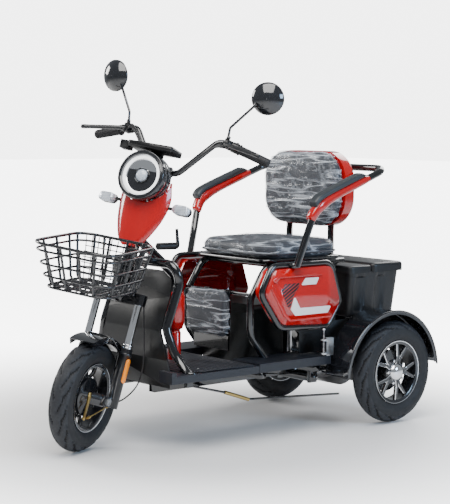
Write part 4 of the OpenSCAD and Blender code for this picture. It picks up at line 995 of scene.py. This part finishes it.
ring_light = finish("ring_light", lit, Emission_Strength=1.6)
lens_glass = surface((0.55, 0.62, 0.72), 0.05, name="lens_glass", worn=0.2, spread=0.02, Coat_Weight=1.0)
bowl = turned([(69, 9), (66, 12), (50, 16), (38, 22), (26, 24), (0, 24), (0, 30), (72, 30), (72, 9)], 72,
              closed=False)
ring = turned([(68.5, 7.4), (66, 5.6), (60, 5.2), (57, 6.6), (56.5, 9), (58, 12), (66, 12), (68.5, 10)], 72)
bezel = turned([(69.5, 8), (69.7, -0.5), (73, -2.6), (80, -1.6), (84, 3), (84, 8)], 72)


def bowl_part(radius, first, last, low, high):
    """A flat plate in the bowl, cut off straight across a circle between two angles."""
    turns = [math.radians(q) for q in range(first, last, 7)]
    return plate([(radius * math.cos(q), radius * math.sin(q)) for q in turns], low, high, 0.6)


mask, top = bowl_part(55, -20, 201, 13, 15), bowl_part(54, -160, -19, 12, 14)
barrel = turned([(26, 14), (26, 8), (24, 6), (22, 8), (22, 14)], 48)
ball = turned([(0, 1.5), (8, 2.2), (15, 4.6), (20, 8), (22, 12), (0, 12)], 48, closed=False)
bucket = turned([(0, 40), (83, 40), (83.4, 66), (78, 76), (60, 82), (0, 84)], 64, closed=False)
for name, shape, coat, slot, turned_over, nodes in (
        ("headlamp_bowl", bowl, chrome, "chrome", True, ()),
        ("headlamp_ring", ring, ring_light, "clear_lens", False, ()),
        ("headlamp_bezel", bezel, gloss_black, "gloss_black", False, ()),
        ("headlamp_mask", mask, gloss_black, "gloss_black", True, ()),
        ("headlamp_top", top, chrome, "chrome", True, ()),
        ("projector_ring", barrel, gloss_black, "gloss_black", False, ()),
        ("projector_lens", ball, lens_glass, "clear_lens", True, ["headlamp_lens"]),
        ("headlamp_bucket", bucket, gloss_black, "gloss_black", False, ())):
    part(name, shape, lamp_at, [coat], "steering", nodes, turned_over=turned_over)

# The front shield: a red moulded cover, bowed across, narrow at the foot and cut out round the headlamp. It
# is held by the steering head.
lamp_s, lamp_room, bow = 734, 82, 140
halves = flowing([(18, 0, 498), (30, 0, 503), (47, 0, 519), (62, 0, 545), (80, 0, 590), (90, 0, 630),
                  (94, 0, 662), (93, 0, 690), (88, 0, 716), (84, 0, 740), (76, 0, 762), (60, 0, 780)], 46)
bm = bmesh.new()
bmesh.ops.create_grid(bm, x_segments=28, y_segments=46, size=1)
for v in bm.verts:
    half, _, s = halves[round((v.co.y + 1) * 23)]
    share, x = v.co.x, half * v.co.x
    v.co = (x, 95 - math.sqrt(bow ** 2 - x * x) + 100 * max(0.0, abs(share) - 0.62) ** 2, s)
behind_lamp = [v for v in bm.verts if math.hypot(v.co.x, v.co.z - lamp_s) < lamp_room - 4]
bmesh.ops.delete(bm, geom=behind_lamp, context="VERTS")
for v in bm.verts:
    away = math.hypot(v.co.x, v.co.z - lamp_s)
    if away < lamp_room + 2:
        v.co.x, v.co.z = v.co.x * lamp_room / away, lamp_s + (v.co.z - lamp_s) * lamp_room / away
bmesh.ops.recalc_face_normals(bm, faces=bm.faces)
shield = part("front_shield_red", bm, fork, [red_gloss], "steering", ["front_shield"], sharp=70)
shield.modifiers.new("wall", "SOLIDIFY").thickness = 0.003
shield.modifiers["wall"].offset = 0
shield.modifiers.new("round", "SUBSURF").levels = 2
shield.modifiers["round"].render_levels = 2

# The turn signals: long round lamps with ribbed clear lenses and black backs, on short stalks behind the
# red shield.


def ribbed(spot):
    wave = spot.node("TexWave", {"bands_direction": "Z"}, {"Vector": spot, "Scale": 60.0})
    # The colour goes from blue-grey to near white over each rib: a painted highlight on a clear lens.
    return {"Base Color": wave.mixed((0.50, 0.57, 0.68, 1), (0.86, 0.90, 0.95, 1)),
            "Roughness": 0.08 + 0.1 * noise_of(spot, 60),
            "Normal": spot.node("Bump", {}, {"Strength": 0.6, "Distance": 0.0008, "Height": wave})}


signal_lens = finish("signal_lens", ribbed, Coat_Weight=1.0, Metallic=0.35)
coated(signal_lens, "turn_signals")
for side, name in ((1, "left"), (-1, "right")):
    own_side = fork if side > 0 else fork @ flip
    place = own_side @ Matrix.Translation((0.141, 0.005, 0.653)) @ Matrix.Rotation(math.pi / 2, 4, "X")
    band = rounded([(-30.6, -16.6), (30.6, -16.6), (30.6, 16.6), (-30.6, 16.6)], 16.4, 8, True)
    back = plate([(p.x, p.y) for p in band], -16.5, -2)
    part(f"signal_back_{name}", back, place, [black_plastic], "steering", turned_over=True)
    rods(f"signal_stalk_{name}", [[(16, 5, 653), (118, 5, 653)]], 11, own_side, black_plastic,
         "steering")

# The display: a flat black moulded case over the lamp, with a dark glass face let into its top and a small
# box under its end.
glass_black = surface((0.004, 0.005, 0.007), 0.06, name="glass_black", spread=0.03, Coat_Weight=1.0,
                      Coat_Roughness=0.02)
coated(black_plastic, "display_unit")
part("display_face", plate(rounded([(-80, -64), (80, -64), (80, 14), (-80, 14)], 6, 4, True), 845, 848.6, 1),
     fork, [glass_black], "steering")

# The basket: welded steel wire, painted black, with a thick rim of two rods, flat stays down the sides and
# a mesh of thin wire in the floor and the back. It stands on two struts from the yoke.
wire_paint = surface((0.009, 0.010, 0.013), 0.25, name="wire_paint", Coat_Weight=0.6)


def basket_ring(z, grow=0.0):
    t = (700 - z) / 155
    half, front, rear = 146 - 32 * t + grow, -200 + 61 * t - grow, 125 - 32 * t + grow
    return rounded([(-half, front, z), (half, front, z), (half, rear, z), (-half, rear, z)], 60 - 12 * t, 7,
                   True)


stays, wires = [], []
floor_share = 114 / 146
for x in (-92, -34, 34, 92):
    low_x = x * floor_share
    stays.append(rounded([(x, -196, 698), (low_x, -142, 552), (low_x, 88, 549), (x, 121, 698)], 22, 5))
for y in (-120, -40, 40, 92):
    low_y = -20 + (y + 20) * 0.78
    stays.append(rounded([(-143, y, 698), (-112, low_y, 550), (112, low_y, 550), (143, y, 698)], 22, 5))
for k in range(11):
    x = -100 + 20 * k
    wires.append([(x, -128, 551), (x, 86, 551), (x * 1.22, 118, 690)])
for k in range(9):
    wires.append([(-104, -110 + 22 * k, 553), (104, -110 + 22 * k, 553)])
for k in range(7):
    wires.append([(-120, 88 + 4.6 * k, 566 + 18 * k), (120, 88 + 4.6 * k, 566 + 18 * k)])
for name, runs, width, closed, sides in (
        ("rim", [basket_ring(695)], 10, True, 4),
        ("hoops", [basket_ring(672, 3), basket_ring(628, 3), basket_ring(588, 3)], 7.5, True, 4),
        ("foot", [basket_ring(550)], 8, True, 4),
        ("stays", stays, 8.5, False, 4),
        ("mesh", wires, 3.4, False, 2)):
    rods(f"basket_{name}", runs, width, ahead, wire_paint, "steering",
         ["basket"] if name == "rim" else (), closed=closed, sides=sides)

# The deck bolts: hexagon heads of plated steel that hold the front corners of the deck.
bolts = []
for x in (214, -214):
    head = turned([(0, 0), (4.5, 0), (4.5, 4), (3.3, 6), (0, 6)], 6, closed=False)
    bmesh.ops.translate(head, vec=(x, 330, 262), verts=head.verts)
    bolts.append(head)
part("deck_bolts", joined(*bolts), chassis, [silver_steel], "chassis")

# The floor's own finish: pale, with a painted glow, seen only from the viewpoint, that rises far out, where it
# meets the background.


def pale_floor(spot):
    # The glow rises from 0.55 m to 2.4 m out from the middle and shows only to camera rays: painted light on
    # the floor.
    far = spot.node("VectorMath", {"operation": "LENGTH"}, {0: spot}, 1)
    rise = spot.node("MapRange", {"interpolation_type": "SMOOTHSTEP"},
                     {"Value": far, "From Min": 0.55, "From Max": 2.4})
    direct = spot.node("LightPath", {}, {})
    tone = noise_of(spot, 1.5)
    return {"Base Color": tone.mixed((0.86, 0.86, 0.87, 1), (0.88, 0.88, 0.88, 1)),
            "Roughness": 0.5 + 0.1 * tone,
            "Emission Color": (rise * direct).mixed((0, 0, 0, 1), (1, 1, 1, 1))}


floor.data.materials.append(finish("floor_pale", pale_floor, Emission_Strength=6.0))
